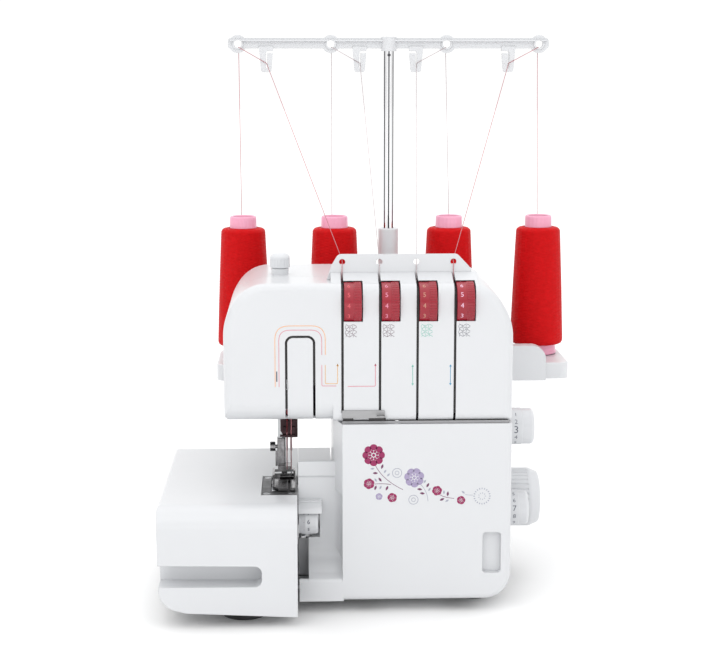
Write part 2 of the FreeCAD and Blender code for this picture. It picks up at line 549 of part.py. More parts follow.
def drive_belt():
    """A flat ring round both pulleys, from the tangent lines of the two circles."""
    def loop(extra):
        r0, r1 = MAIN_PULLEY_R + extra, MOTOR_PULLEY_R + extra
        dy, dz = MOTOR_Y - SHAFT_Y, MOTOR_Z - SHAFT_Z
        length = math.hypot(dy, dz)
        along = math.atan2(dz, dy)
        lean = math.acos((r0 - r1) / length)
        sides = []
        for sign in (1, -1):
            angle = along + sign * lean
            sides.append([(SHAFT_Y + r0 * math.cos(angle), SHAFT_Z + r0 * math.sin(angle)),
                          (MOTOR_Y + r1 * math.cos(angle), MOTOR_Z + r1 * math.sin(angle))])
        strip = [sides[0][0], sides[0][1], sides[1][1], sides[1][0]]
        body = prism(strip, "yz", PULLEY_X0 + 2.0, PULLEY_X1 - 2.0)
        return union(body, cyl_x(SHAFT_Y, SHAFT_Z, r0, PULLEY_X0 + 2.0, PULLEY_X1 - 2.0),
                     cyl_x(MOTOR_Y, MOTOR_Z, r1, PULLEY_X0 + 2.0, PULLEY_X1 - 2.0))
    return loop(1.6).cut(loop(0.15))


# ---------------------------------------------------------------- inner frame
def main_frame():
    web = box(0, 12, -48, 26, BASE_Z1 + 0.1, 250)
    lower_arm = box(-38.6, 0, -46, 22, 62, 96)
    lower_arm = lower_arm.cut(box(-24, -1, -42, 18, 52, 93))
    upper_arm = box(-120, 0, -30, -8, 222, 250)
    head_block = box(-104, -62, -62, -8, 196, 250)
    motor_shelf = box(12, 76, MOTOR_Y - 16, MOTOR_Y + 16, MOTOR_Z - MOTOR_R - 8, MOTOR_Z - MOTOR_R - 5)
    looper_plate = prism([(-48, 21), (1, 21), (1, 59), (-33, 59, 3), (-48, 40, 3)], "xz", -50.3, -47.2)
    pins = [cyl_y(x, z, 2.5, y0, -49) for (x, z), y0 in ((LOWER_PIVOT, -63.5), (UPPER_PIVOT, -58.0))]
    front_web = box(0, 12, -50.3, -46, BASE_Z1 + 0.1, 120)
    frame = union(web, lower_arm, upper_arm, head_block, motor_shelf, looper_plate, front_web, *pins)
    frame = frame.cut(box(-99, -67, -60, -32, 203, 244))
    frame = frame.cut(cyl_x(SHAFT_Y, SHAFT_Z, 8.2, -50, 20))
    frame = frame.cut(cyl_z(NEEDLE_X, NEEDLE_Y, 3.28, 190, 260))
    frame = frame.cut(cyl_z(PRESSER_X, PRESSER_Y, 3.28, 190, 260))
    return frame


# ---------------------------------------------------------------- head casings


def head_block(y0, y1, front_round, rear_round, shrink):
    shape = inset(HEAD_OUTLINE, shrink) if shrink else HEAD_OUTLINE
    block = prism(shape, "xz", y0, y1)
    if front_round:
        block = rounded(block, front_round, lambda p: all(abs(q.y - y0) < 1e-3 for q in p)
                        and max(q.z for q in p) > HEAD_Z0 + shrink + 10)
        centre_y, centre_z = HEAD_Y0 + UNDERCUT_R, HEAD_Z0 + UNDERCUT_R
        x0, x1 = HEAD_X0 - 5, UNDERCUT_X1 + shrink
        wedge = box(x0, x1, HEAD_Y0 - 1, centre_y, HEAD_Z0 - 1, centre_z)
        block = block.cut(wedge.cut(cyl_x(centre_y, centre_z, UNDERCUT_R - shrink, x0 - 1, x1 + 1)))
    if rear_round:
        block = rounded(block, rear_round, lambda p: all(abs(q.y - y1) < 1e-3 for q in p))
    return block


def panel_outline(grow):
    """The inverted U round the needle thread panel, from below the head to its rounded top."""
    x0, x1, z1 = NEEDLE_PANEL
    return [(x0 - grow, HEAD_Z0 - 5), (x1 + grow, HEAD_Z0 - 5), (x1 + grow, z1 + grow, 5.5 + grow),
            (x0 - grow, z1 + grow, 5.5 + grow)]


def head_front_shell():
    outer = head_block(HEAD_Y0, HEAD_SPLIT_Y, NOSE_R, 0, 0)
    inner = head_block(HEAD_Y0 + WALL, HEAD_SPLIT_Y + 5, NOSE_R - WALL, 0, WALL)
    ramp = prism([(RAMP_Y0, RAMP_Z0 - 4), (RAMP_Y0, RAMP_Z0 - 1, 2), (RAMP_Y1, RAMP_Z1),
                  (RAMP_Y1, RAMP_Z0 - 4)],
                 "yz", RAMP_X0, RAMP_X1)
    under_ramp = prism([(RAMP_Y0 + 5, 270), (RAMP_Y0 + 5, RAMP_Z0 - 1.5), (RAMP_Y1 - 2.5, RAMP_Z1 - 3.2),
                        (RAMP_Y1 - 2.5, 270)], "yz", RAMP_X0 + 3, RAMP_X1 - 3)
    return union(outer, ramp).cut(inner).cut(under_ramp)


def head_front_housing():
    shell = head_front_shell()
    for i, x in enumerate(SLOT_XS):
        bottom = HEAD_Z0 + 8 if i < 2 else HEAD_Z0 - 5
        right = x + SLOT_W / 2 + DIAL_W + 1.0
        shell = shell.cut(box(x - SLOT_W / 2, x + SLOT_W / 2, HEAD_Y0 - 2, SLOT_TOP_Y, bottom, 300))
        shell = shell.cut(cyl_x(DIAL_Y, DIAL_Z, DIAL_R + 0.7, x - SLOT_W / 2, right))
        shell = shell.cut(box(x - SLOT_W / 2, right, HEAD_Y0 - 2, DIAL_Y - 1.5, DIAL_Z, RAMP_Z1))
    shell = shell.cut(prism(panel_outline(U_SLOT_W / 2), "xz", HEAD_Y0 - 5, HEAD_Y0 + UNDERCUT_R))
    shell = shell.cut(box(-96, -62, -66, HEAD_SPLIT_Y + 1, HEAD_Z0 - 5, HEAD_Z0 + 8))
    return max(shell.Solids, key=lambda solid: solid.Volume)


def needle_thread_panel():
    panel = head_front_shell().common(prism(panel_outline(-U_SLOT_W / 2), "xz", HEAD_Y0 - 5,
                                            HEAD_Y0 + UNDERCUT_R))
    rib = box(-67.5, -64.5, HEAD_Y0 + WALL - 0.5, -62.0, 200, 226)
    return union(panel, rib)


def head_rear_housing():
    outer = head_block(HEAD_SPLIT_Y + GAP, HEAD_Y1, 0, 6.0, 0)
    inner = head_block(HEAD_SPLIT_Y - 5, HEAD_Y1 - WALL, 0, 3.5, WALL)
    x, y = PRESSER_X, PRESSER_Y
    boss = revolve_z(x, y, [(0, 266), (7.3, 266), (7.3, 281), (7.6, 286.2, 1.0), (0, 286.2)])
    shell = union(outer.cut(inner), boss).cut(cyl_z(x, y, 4.05, 260, 290))
    shell = shell.cut(box(-96, -62, HEAD_SPLIT_Y - 1, -28, HEAD_Z0 - 5, HEAD_Z0 + 8))
    shell = shell.cut(box(-30, 80, -50, 30, HEAD_Z0 - 4, HEAD_Z0 + 5))
    shell = shell.cut(cyl_z(LAMP_X, LAMP_Y, 8.2, HEAD_Z0 - 2, HEAD_Z0 + 5))
    ears = []
    for x0, x1 in ((-113.6, -110.4), (-95.6, -92.4)):
        ear = prism([(HEAD_Y1 - 1, LIFTER_Z - 8), (HEAD_Y1 - 1, LIFTER_Z + 8),
                     (LIFTER_Y + 5, LIFTER_Z + 5, 4),
                     (LIFTER_Y + 5, LIFTER_Z - 5, 4)], "yz", x0, x1)
        ears.append(ear.cut(cyl_x(LIFTER_Y, LIFTER_Z, 2.06, x0 - 1, x1 + 1)))
    shell = union(shell, *ears)
    for x, z in REAR_SCREWS_HEAD + STAND_SCREWS:
        shell = shell.cut(cyl_y(x, z, 1.8, HEAD_Y1 - 5, HEAD_Y1 + 1))
    return shell


def casing_screws():
    """Pan-head screws of the rear casings, and the three longer ones that hold the thread stand."""
    rear = [screw_y(x, z, HEAD_Y1 + 2.2, 1.7, 9, 1) for x, z in REAR_SCREWS_COLUMN + REAR_SCREWS_HEAD]
    stand = [screw_y(x, z, STAND_Y0 + 5.3, 1.7, 16.0, 1) for x, z in STAND_SCREWS]
    return group(*rear, *stand)


def thread_guide_plate():
    plate = prism([(-43, 280.7), (-39.5, 292.0, 8), (-33.5, GUIDE_Z1, 5), (66, GUIDE_Z1, 5), (76.5, 291, 8),
                   (80, 280.7)], "xz", GUIDE_Y0, GUIDE_Y1)
    for x in SLOT_XS:
        plate = plate.cut(cyl_y(x + 0.5, GUIDE_HOLE_Z, GUIDE_HOLE_R, GUIDE_Y0 - 1, GUIDE_Y1 + 1))
        plate = plate.cut(box(x + 0.1, x + 0.9, GUIDE_Y0 - 1, GUIDE_Y1 + 1, 287.0, GUIDE_HOLE_Z))
    return plate


def lower_thread_guide():
    """Bright plate under the first two channels, folded over at its foot, with two thread slots."""
    face = prism([(-31.2, 168.6), (4.4, 168.6, 1.5), (4.4, 175.2, 1.5), (-31.2, 175.2)], "xz",
                 HEAD_Y0 - 1.4, HEAD_Y0 - 0.05)
    tab = box(-2.5, 4.0, HEAD_Y0 - 5.0, HEAD_Y0 - 1.0, 170.0, 171.2)
    return union(face, tab)


def tension_dial(x):
    """A serrated wheel that shows through the casing to the right of its thread channel."""
    x0, x1 = x + SLOT_W / 2 + 0.4, x + SLOT_W / 2 + DIAL_W
    split = x0 + DIAL_W * 0.52
    wheel = revolve_x(DIAL_Y, DIAL_Z, [(3.05, x0), (DIAL_R - 0.4, x0, 0.4), (DIAL_R - 0.4, split),
                                       (DIAL_R, split + 0.4),
                                       (DIAL_R, x1, 0.6), (3.05, x1)])
    for k in range(48):
        angle = math.radians(7.5 * k)
        y, z = DIAL_Y + (DIAL_R + 0.25) * math.cos(angle), DIAL_Z + (DIAL_R + 0.25) * math.sin(angle)
        wheel = wheel.cut(cyl_x(y, z, 0.6, split + 0.8, x1 + 1))
    return wheel


def tension_assembly():
    """Folded plate with its four riveted studs; each carries two tension discs in the thread channel."""
    pieces = [box(-46, 83, -68.5, -66.5, 240, 272), box(0, 12, -67, -48.0, 240, 250)]
    for x in SLOT_XS:
        pieces.append(box(x - 11.0, x - 9.0, -98, -66.5, 255, 272))
        pieces.append(cyl_x(DIAL_Y, DIAL_Z, 3.0, x - 9.5, x + SLOT_W / 2 + DIAL_W + 3))
        pieces.append(cyl_x(DIAL_Y, DIAL_Z, 6.0, x - 9.0, x - 7.6))
        for e, s in ((-1.2, -1), (-4.2, 1)):
            pieces.append(revolve_x(DIAL_Y, DIAL_Z,
                                    [(2.9, x + e), (9.5, x + e + s * 0.9), (9.5, x + e + s * 1.5),
                                                     (2.9, x + e + s * 0.8)]))
    return union(*pieces)


def pressure_knob():
    x, y = PRESSER_X, PRESSER_Y
    knob = revolve_z(x, y, [(0, 286.6), (8.4, 286.6, 0.6), (8.6, 296.0, 2.5), (6.0, 298.6, 2.0), (0, 298.6)])
    for k in range(18):
        angle = math.radians(20 * k)
        knob = knob.cut(cyl_z(x + 9.2 * math.cos(angle), y + 9.2 * math.sin(angle), 1.0, 285, 294))
    return union(knob, cyl_z(x, y, 4.0, 264, 287))


def lamp():
    """Sewing light in the underside of the head: holder and round lens."""
    x, y = LAMP_X, LAMP_Y
    return revolve_z(x, y, [(0, HEAD_Z0 - 1.0), (5, HEAD_Z0 - 1.0, 2), (8.0, HEAD_Z0 + 0.4),
                            (8.0, HEAD_Z0 + 2.6),
                            (9.4, HEAD_Z0 + 2.6), (9.4, HEAD_Z0 + 5.0), (5, HEAD_Z0 + 5), (5, HEAD_Z0 + 16),
                            (0, HEAD_Z0 + 16)])


# ---------------------------------------------------------------- needle bar and needles
def needle_bar():
    return cyl_z(NEEDLE_X, NEEDLE_Y, 3.2, 158.4, 262)


def needle_clamp():
    x, y = NEEDLE_X, NEEDLE_Y
    block = prism([(x - 7.4, 158.3, 1), (x - 7.4, 147.5), (x - 3.5, 141.8, 1), (x + 7.4, 141.8, 1),
                   (x + 7.4, 158.3, 1)],
                  "xz", y - 5.5, y + 5.0)
    bar = box(x - 7.8, x + 5.0, y - 7.6, y - 5.5, 142.8, 144.4)
    screws = [cyl_y(x + dx, z, 1.5, y - 7.8, y - 5.0)
              for dx, z in ((-3.6, 150.0), (4.0, 150.0), (-1.5, 155.6), (4.2, 156.4))]
    return union(block, bar, *screws)


def needles():
    made = []
    for i, x in enumerate(NEEDLE_XS):
        tip = 106.0 - 1.6 * i
        shank = cyl_z(x, NEEDLE_Y, 1.0, 129.0, 141.7)
        blade = cyl_z(x, NEEDLE_Y, 0.5, tip + 6, 129.0)
        made.append(union(shank, blade, cone_z(x, NEEDLE_Y, 0.06, 0.5, tip, tip + 6)))
    return group(*made)


# ---------------------------------------------------------------- presser bar and foot
def presser_bar():
    collar = cyl_z(PRESSER_X, PRESSER_Y, 5.6, SPRING_Z0 - 3.0, SPRING_Z0)
    return union(cyl_z(PRESSER_X, PRESSER_Y, 3.2, 137.5, 256.0), collar)


def presser_spring():
    """Coil spring from the collar of the presser bar to the top of the frame, as a stack of turns."""
    wire, turns = 0.7, 9
    step = (SPRING_Z1 - SPRING_Z0 - 2 * wire - 0.1) / (turns - 1)
    x, y = PRESSER_X, PRESSER_Y
    return group(*(Part.makeTorus(4.9, wire, V(x, y, SPRING_Z0 + 0.05 + wire + step * i))
                   for i in range(turns)))


def foot_shank():
    x, y = PRESSER_X, PRESSER_Y
    block = rounded(box(x - 3.6, x + 3.6, y - 4.6, y + 4.0, 113.5, 137.4), 1.0,
                    lambda p: abs(p[0].z - p[-1].z) > 20)
    holder = box(x - 3.0, x + 8.6, y - 10.0, y + 4.0, 109.6, 114.2)
    clevis = box(x, x + 5.0, y - 1.5, y + 4.0, 105.4, 110.0)
    clevis = clevis.cut(cyl_x(FOOT_PIN_Y, FOOT_PIN_Z, 1.15, x - 2, x + 7))
    screw = union(cyl_x(y, 129.5, 4.2, x - 9.8, x - 5.2), cyl_x(y, 129.5, 1.6, x - 5.3, x - 3.4))
    lever = box(x - 5.2, x - 3.5, y - 3, y - 1, 112.5, 126)
    return union(block, holder, clevis, screw, lever)


def presser_foot():
    """Sole with its two toes, the side walls and the pin that the holder carries it by."""
    sole = box(-90.0, -70.4, -84, FOOT_PIN_Y + 2, 101.8, 104.2)
    sole = sole.cut(box(-84.0, -71.8, -57.0, -46.5, 101, 105))
    sole = sole.cut(prism([(-90.5, -84.5), (-90.5, -76), (-84.5, -84.5)], "xy", 101, 105))
    sole = sole.cut(box(-76.6, -74.6, -84.5, -57, 101, 105))
    walls = union(box(-90.0, -88.4, -60, FOOT_PIN_Y + 2, 104, 109.2),
                  box(-72.2, -70.6, -45, FOOT_PIN_Y + 2, 104, 109.2),
                  box(-88.6, -72.0, -45.6, -44.2, 104, 106.6))
    pin = cyl_x(FOOT_PIN_Y, FOOT_PIN_Z, 1.1, -89.0, -71.0)
    return union(sole, walls, pin)


def lifter_lever():
    """Lever behind the head that raises the presser bar, on a pin between two moulded ears."""
    y, z = LIFTER_Y, LIFTER_Z
    hub = cyl_x(y, z, 5.0, -109.0, -97.0)
    blade = prism([(y - 3, z), (y + 4, z + 1), (y + 13, z - 24, 8), (y + 13, z - 42), (y + 9, z - 42),
                   (y + 8.5, z - 24, 8)], "yz", -108.0, -98.0)
    return union(hub, blade, cyl_x(y, z, 2.0, -113.6, -92.4))


# ---------------------------------------------------------------- loopers and knives


def strip(a, b, width_a, width_b, y0, y1):
    """A flat bar between two (x, z) points, tapering from one width to the other."""
    length = math.hypot(b[0] - a[0], b[1] - a[1])
    n = ((a[1] - b[1]) / length, (b[0] - a[0]) / length)
    sides = [(p[0] + s * n[0] * w / 2, p[1] + s * n[1] * w / 2)
             for p, w, s in ((a, width_a, 1), (b, width_b, 1), (b, width_b, -1), (a, width_a, -1))]
    return prism(sides, "xz", y0, y1)


def looper(pivot, y0, y1, elbow, hook, tip):
    """A flat arm from its pivot boss, cranked at the elbow, to a pointed hook."""
    px, pz = pivot
    bends = [cyl_y(elbow[0], elbow[1], 2.75, y0, y1), cyl_y(hook[0], hook[1], 2.0, y0, y1)]
    blade = [strip(pivot, elbow, 7.0, 5.5, y0, y1), strip(elbow, hook, 5.5, 4.0, y0, y1),
             strip(hook, tip, 4.0, 0.8, y0, y1)]
    boss = cyl_y(px, pz, 6.0, y0 - 1.2, y1 + 1.2)
    return union(boss, *bends, *blade).cut(cyl_y(px, pz, 2.53, y0 - 5, y1 + 5))


def lower_looper():
    return looper(LOWER_PIVOT, -61.5, -59.0, (-58.0, 50.0), (-65.0, 76.0), (-80.0, 80.0))


def upper_looper():
    return looper(UPPER_PIVOT, -56.0, -53.5, (-46.0, 57.0), (-55.0, 77.0), (-71.0, 84.0))


def upper_knife():
    """Moving knife and its arm, right of the needle plate behind the guard."""
    blade = prism([(-73.5, 101.9), (-64.5, 103.4), (-64.5, 118), (-73.5, 118)], "yz", -67.7, -66.7)
    arm = union(box(-66.8, -64.4, -74.0, -64.0, 108, 120), box(-66.8, -64.4, -74.0, -70.0, 64, 110))
    return union(blade, arm, cyl_x(-69.0, 113.0, 2.4, -64.5, -62.6))


def lower_knife():
    """Fixed knife let into the right side of the free arm."""
    return box(-68.55, -67.9, -74.0, -64.6, 86, 101.0)


# ---------------------------------------------------------------- mains inlet and switch
def inlet_and_switch_frame():
    """One moulded insert in the right wall: the shrouded two-pin inlet and the frame of the power switch."""
    g = 0.3
    y0, y1, z0, z1 = INLET
    inlet = box(HEAD_X1 - 18, HEAD_X1 + 0.6, y0 + g, y1 - g, z0 + g, z1 - g)
    inlet = inlet.cut(box(HEAD_X1 - 15, HEAD_X1 + 2, y0 + 2.3, y1 - 2.3, z0 + 2.3, z1 - 2.3))
    pins = [cyl_x((y0 + y1) / 2 + d, (z0 + z1) / 2, 1.2, HEAD_X1 - 15.5, HEAD_X1 - 11.0) for d in (-5, 5)]
    bridge = box(HEAD_X1 - 16, HEAD_X1 - 13.5, INLET[1] - 2, SWITCH[0] + 2, SWITCH[2] + 1, SWITCH[3] - 1)
    y0, y1, z0, z1 = SWITCH
    frame = box(HEAD_X1 - 16, HEAD_X1 + 0.6, y0 + g, y1 - g, z0 + g, z1 - g)
    frame = frame.cut(box(HEAD_X1 - 12, HEAD_X1 + 2, y0 + 2.0, y1 - 2.0, z0 + 2.0, z1 - 2.0))
    axle = cyl_z(HEAD_X1 - 5.0, (y0 + y1) / 2, 1.0, z0 + 1, z1 - 1)
    return union(inlet, frame, bridge, axle, *pins)


def switch_rocker():
    y0, y1, z0, z1 = SWITCH
    ym, x = (y0 + y1) / 2, HEAD_X1
    rocker = prism([(x - 7.5, ym - 3), (x - 5.0, y0 + 3.4), (x + 2.4, y0 + 3.4, 1), (x + 0.6, ym, 8),
                    (x - 0.6, y1 - 3.4, 1), (x - 5.0, y1 - 3.4), (x - 7.5, ym + 3)], "xy", z0 + 2.6,
        z1 - 2.6)
    return rocker.cut(cyl_z(x - 5.0, ym, 1.06, z0 - 1, z1 + 1))


# ---------------------------------------------------------------- thread stand


def spool_stand():
    tray = prism([(STAND_X0, STAND_Y0, 9), (STAND_X1, STAND_Y0, 9), (STAND_X1, STAND_Y1, 26),
                  (STAND_X0, STAND_Y1, 26)], "xy", STAND_Z0, STAND_Z1)
    tray = rounded(tray, 1.5, lambda p: all(abs(q.z - STAND_Z1) < 1e-3 for q in p))
    hollow = prism([(STAND_X0 + 3, STAND_Y0 + 3, 6), (STAND_X1 - 3, STAND_Y0 + 3, 6),
                    (STAND_X1 - 3, STAND_Y1 - 3, 23), (STAND_X0 + 3, STAND_Y1 - 3, 23)], "xy",
                   STAND_Z0 - 1, STAND_Z1 - 3)
    tray = tray.cut(hollow)
    ribs = [box(x - 1, x + 1, STAND_Y0 + 2, STAND_Y1 - 2, STAND_Z0 + 2, STAND_Z1 - 2)
            for x in (-75, -5, 45, 115)]
    wall = prism([(WALL_X0, STAND_Z0), (WALL_X1, STAND_Z0), (WALL_X1, WALL_TOP_Z, 13),
                  (WALL_X0, WALL_TOP_Z, 13)],
                 "xz", HEAD_Y1 + 0.3, STAND_Y0 + 3)
    wall = wall.cut(box(-118, -84, HEAD_Y1 - 1, STAND_Y0 - 0.5, 150, 215))
    wall = wall.cut(box(-116, -90, HEAD_Y1 - 1, STAND_Y0 + 12, 160, 215))
    stand = union(tray, wall, *ribs)
    stand = stand.cut(box(-116, -90, HEAD_Y1 - 1, STAND_Y0 + 32, 160, 215))
    socket = cyl_z(POLE_X, POLE_Y, 13.0, STAND_Z0, STAND_Z1 + 4)
    stand = union(stand, socket).cut(cyl_z(POLE_X, POLE_Y, 9.6, STAND_Z0 + 2, STAND_Z1 + 10))
    for x in CONE_XS:
        stand = union(stand, cyl_z(x, CONE_Y, 8.0, STAND_Z0 + 3, STAND_Z1 - 1))
        stand = stand.cut(cyl_z(x, CONE_Y, 3.5, STAND_Z0 + 2, STAND_Z1 + 5))
    for x, z in STAND_SCREWS:
        stand = stand.cut(cyl_y(x, z, 1.8, HEAD_Y1 - 1, STAND_Y0 + 5))
    return stand


def spool_pins():
    """Four upright pins, each moulded with the stepped cup that centres its cone."""
    made = []
    for x in CONE_XS:
        pin = revolve_z(x, CONE_Y, [(0, 176), (3.45, 176), (3.45, 276, 1), (2.2, 284, 1.5), (0, 284)])
        cup = revolve_z(x, CONE_Y, [(0, 186.1), (14.0, 186.1, 0.5), (14.0, 187.2), (9.5, 188.5, 2),
                                    (6.0, 238, 2),
                                    (0, 239)])
        made.append(union(pin, cup))
    return group(*made)


def tube_radius(z):
    return TUBE_R0 + (TUBE_R1 - TUBE_R0) * (z - TUBE_Z0) / (CONE_TOP_Z - TUBE_Z0)


def cone_tube(x):
    """Hollow tapered core of one thread cone, with its rolled foot and the ribbed top ring."""
    z0, z1 = TUBE_Z0, CONE_TOP_Z
    ring_z = 305.5
    profile = [(TUBE_R0 - 2.6, z0), (TUBE_R0 + 0.4, z0, 1.0), (TUBE_R0 + 0.4, z0 + 2.4, 1.0),
               (tube_radius(z0 + 4), z0 + 4), (tube_radius(ring_z) - 0.2, ring_z),
               (TUBE_R1 + 0.2, ring_z + 0.4), (TUBE_R1 + 0.3, z1 - 3, 1.0), (TUBE_R1 - 0.4, z1, 0.6),
               (TUBE_R1 - 2.4, z1, 0.6), (TUBE_R1 - 2.6, z1 - 8)]
    return revolve_z(x, CONE_Y, profile)


def cone_winding(x):
    """Wound thread: a tapered package with rounded shoulders."""
    z0, z1 = 196.5, 306.5
    profile = [(tube_radius(z0) + 0.05, z0), (23.6, z0 - 0.6, 4.0), (25.0, z0 + 6, 8.0), (20.4, z1 - 4, 5.0),
               (15.0, z1, 3.0), (tube_radius(z1) + 0.3, z1 + 0.3)]
    return revolve_z(x, CONE_Y, profile)


def tree_sleeve():
    """Lower tube of the telescopic pole, closed at the foot."""
    return revolve_z(POLE_X, POLE_Y, [(0, STAND_Z0 + 2.1), (9.5, STAND_Z0 + 2.1), (9.5, SLEEVE_TOP_Z, 1.2),
                                      (POLE_R + 0.06, SLEEVE_TOP_Z, 0.4), (POLE_R + 0.06, STAND_Z0 + 6),
        (0, STAND_Z0 + 6)])


def tree_pole():
    pole = cyl_z(POLE_X, POLE_Y, POLE_R, SLEEVE_TOP_Z - 18, BAR_Z0 + 8)
    pole = pole.cut(cyl_z(POLE_X, POLE_Y, POLE_R - 1.0, SLEEVE_TOP_Z - 20, BAR_Z0 + 4))
    button = cyl_y(POLE_X, BAR_Z0 - 5.0, 1.5, POLE_Y - POLE_R - 0.6, POLE_Y - POLE_R + 1.0)
    return union(pole, button)


def guide_bar():
    """Cross bar of the thread tree: an eye above each cone and a hooked guide beside it."""
    y0, y1 = POLE_Y - 2.0, POLE_Y + 2.0
    x0, x1 = EYE_XS[0] - 9.0, EYE_XS[3] + 9.0
    bar = prism([(x0, BAR_Z0 + 1, 2), (x1, BAR_Z0 + 1, 2), (x1, BAR_Z1, 3), (x0, BAR_Z1, 3)], "xz", y0, y1)
    flange = box(x0 + 2, x1 - 2, POLE_Y - 5.0, POLE_Y + 5.0, BAR_Z1 - 3.2, BAR_Z1 - 1.4)
    pieces = [bar, flange]
    for x in EYE_XS:
        pieces.append(cyl_y(x, EYE_Z, EYE_R, y0, y1))
        pieces.append(cyl_y(x, EYE_Z, EYE_HOLE_R + 1.6, y0 - 1.2, y1 + 1.2))
    for x in HOOK_XS:
        pieces.append(prism([(x - 6.6, BAR_Z0 + 3), (x - 4.6, HOOK_Z0, 2), (x + 4.6, HOOK_Z0, 2),
                             (x + 6.6, BAR_Z0 + 3)], "xz", y0 - 1.0, y1 + 1.0))
    hub = cyl_z(POLE_X, POLE_Y, 7.2, BAR_Z0 - 1.5, BAR_Z1 + 1.0)
    bar = union(*pieces, hub)
    for i, x in enumerate(HOOK_XS):
        side = 1 if i < 2 else -1
        slit = box(x + 0.3 - 0.6, x + 0.3 + 0.6, y0 - 3, y1 + 3, HOOK_Z0 + 3.5, BAR_Z0 - 2.6)
        gate = sorted((x + 0.3, x + side * 9))
        bar = bar.cut(slit).cut(box(gate[0], gate[1], y0 - 3, y1 + 3, BAR_Z0 - 3.4, BAR_Z0 - 1.4))
    for x in EYE_XS:
        bar = bar.cut(cyl_y(x, EYE_Z, EYE_HOLE_R, y0 - 5, y1 + 5))
        bar = bar.cut(box(x - EYE_HOLE_R, x + EYE_HOLE_R, POLE_Y - 6, POLE_Y + 6, EYE_Z,
                          EYE_Z + EYE_HOLE_R - 1.0))
    return bar.cut(cyl_z(POLE_X, POLE_Y, POLE_R, BAR_Z0 - 4, BAR_Z0 + 8))


def thread_run(points, r):
    """One taut thread along straight runs, with a small ball where it turns."""
    pieces = []
    for a, b in zip(points, points[1:]):
        a, b = V(*a), V(*b)
        pieces.append(Part.makeCylinder(r, (b - a).Length, a, b - a))
    for p in points[1:-1]:
        pieces.append(Part.makeSphere(r, V(*p)))
    return union(*pieces)


def spool_threads():
    """Four taut threads, each from the shoulder of its cone through its eye and hook to the guide plate."""
    made = []
    for i in range(4):
        side = 1 if i < 2 else -1
        cone = (CONE_XS[i] - 2.0 * side, CONE_Y + 19.8, 305.0)
        behind = (EYE_XS[i] + 0.6 * side, POLE_Y + 4.2, EYE_Z - 2.9)
        before = (EYE_XS[i] + 0.8 * side, POLE_Y - 4.0, EYE_Z - 2.9)
        hook = (HOOK_XS[i] + 0.3, POLE_Y - 3.6, HOOK_Z0 + 8.0)
        plate = (SLOT_XS[i] + 0.5, GUIDE_Y1 + 1.2, GUIDE_HOLE_Z + 1.4)
        made.append(thread_run([cone, behind, before, hook, plate], THREAD_R))
    return group(*made)


# ---------------------------------------------------------------- write the files
SINGLE_PARTS = (
    base_plate, rubber_feet, free_arm_casing, needle_plate, needle_plate_screws, main_feed_dog,
    differential_feed_dog, free_arm_cover, stitch_width_dial, bed_deck, front_cover, cover_hinge_bar,
    column_housing, stitch_length_dial, differential_dial, bearing_bushes, handwheel, main_shaft,
        main_pulley,
    motor, motor_rotor, drive_belt, main_frame, head_front_housing, needle_thread_panel, head_rear_housing,
    casing_screws, thread_guide_plate, lower_thread_guide, tension_assembly, pressure_knob, lamp, needle_bar,
    needle_clamp, needles, presser_bar, presser_spring, foot_shank, presser_foot, lifter_lever, lower_looper,
    upper_looper, upper_knife, lower_knife, inlet_and_switch_frame, switch_rocker, spool_stand, spool_pins,
    tree_sleeve, tree_pole, guide_bar, spool_threads,
)


def main():
    os.makedirs("parts", exist_ok=True)
    made = {maker.__name__: maker() for maker in SINGLE_PARTS}
    for i, x in enumerate(SLOT_XS):
        made[f"tension_dial_{i + 1}"] = tension_dial(x)
    for i, x in enumerate(CONE_XS):
        made[f"thread_cone_{i + 1}"] = group(cone_tube(x), cone_winding(x))
    for name, shape in made.items():
        shape.exportStep(os.path.join("parts", name + ".step"))
        print(name, len(shape.Solids), round(shape.Volume, 1), shape.isValid())


if __name__ == "__main__":
    main()
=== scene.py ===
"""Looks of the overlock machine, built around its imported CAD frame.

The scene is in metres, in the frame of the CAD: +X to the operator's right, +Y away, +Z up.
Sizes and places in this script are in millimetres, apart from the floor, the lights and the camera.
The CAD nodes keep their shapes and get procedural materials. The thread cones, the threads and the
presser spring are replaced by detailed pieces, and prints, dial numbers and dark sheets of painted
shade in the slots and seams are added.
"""
import json
import math

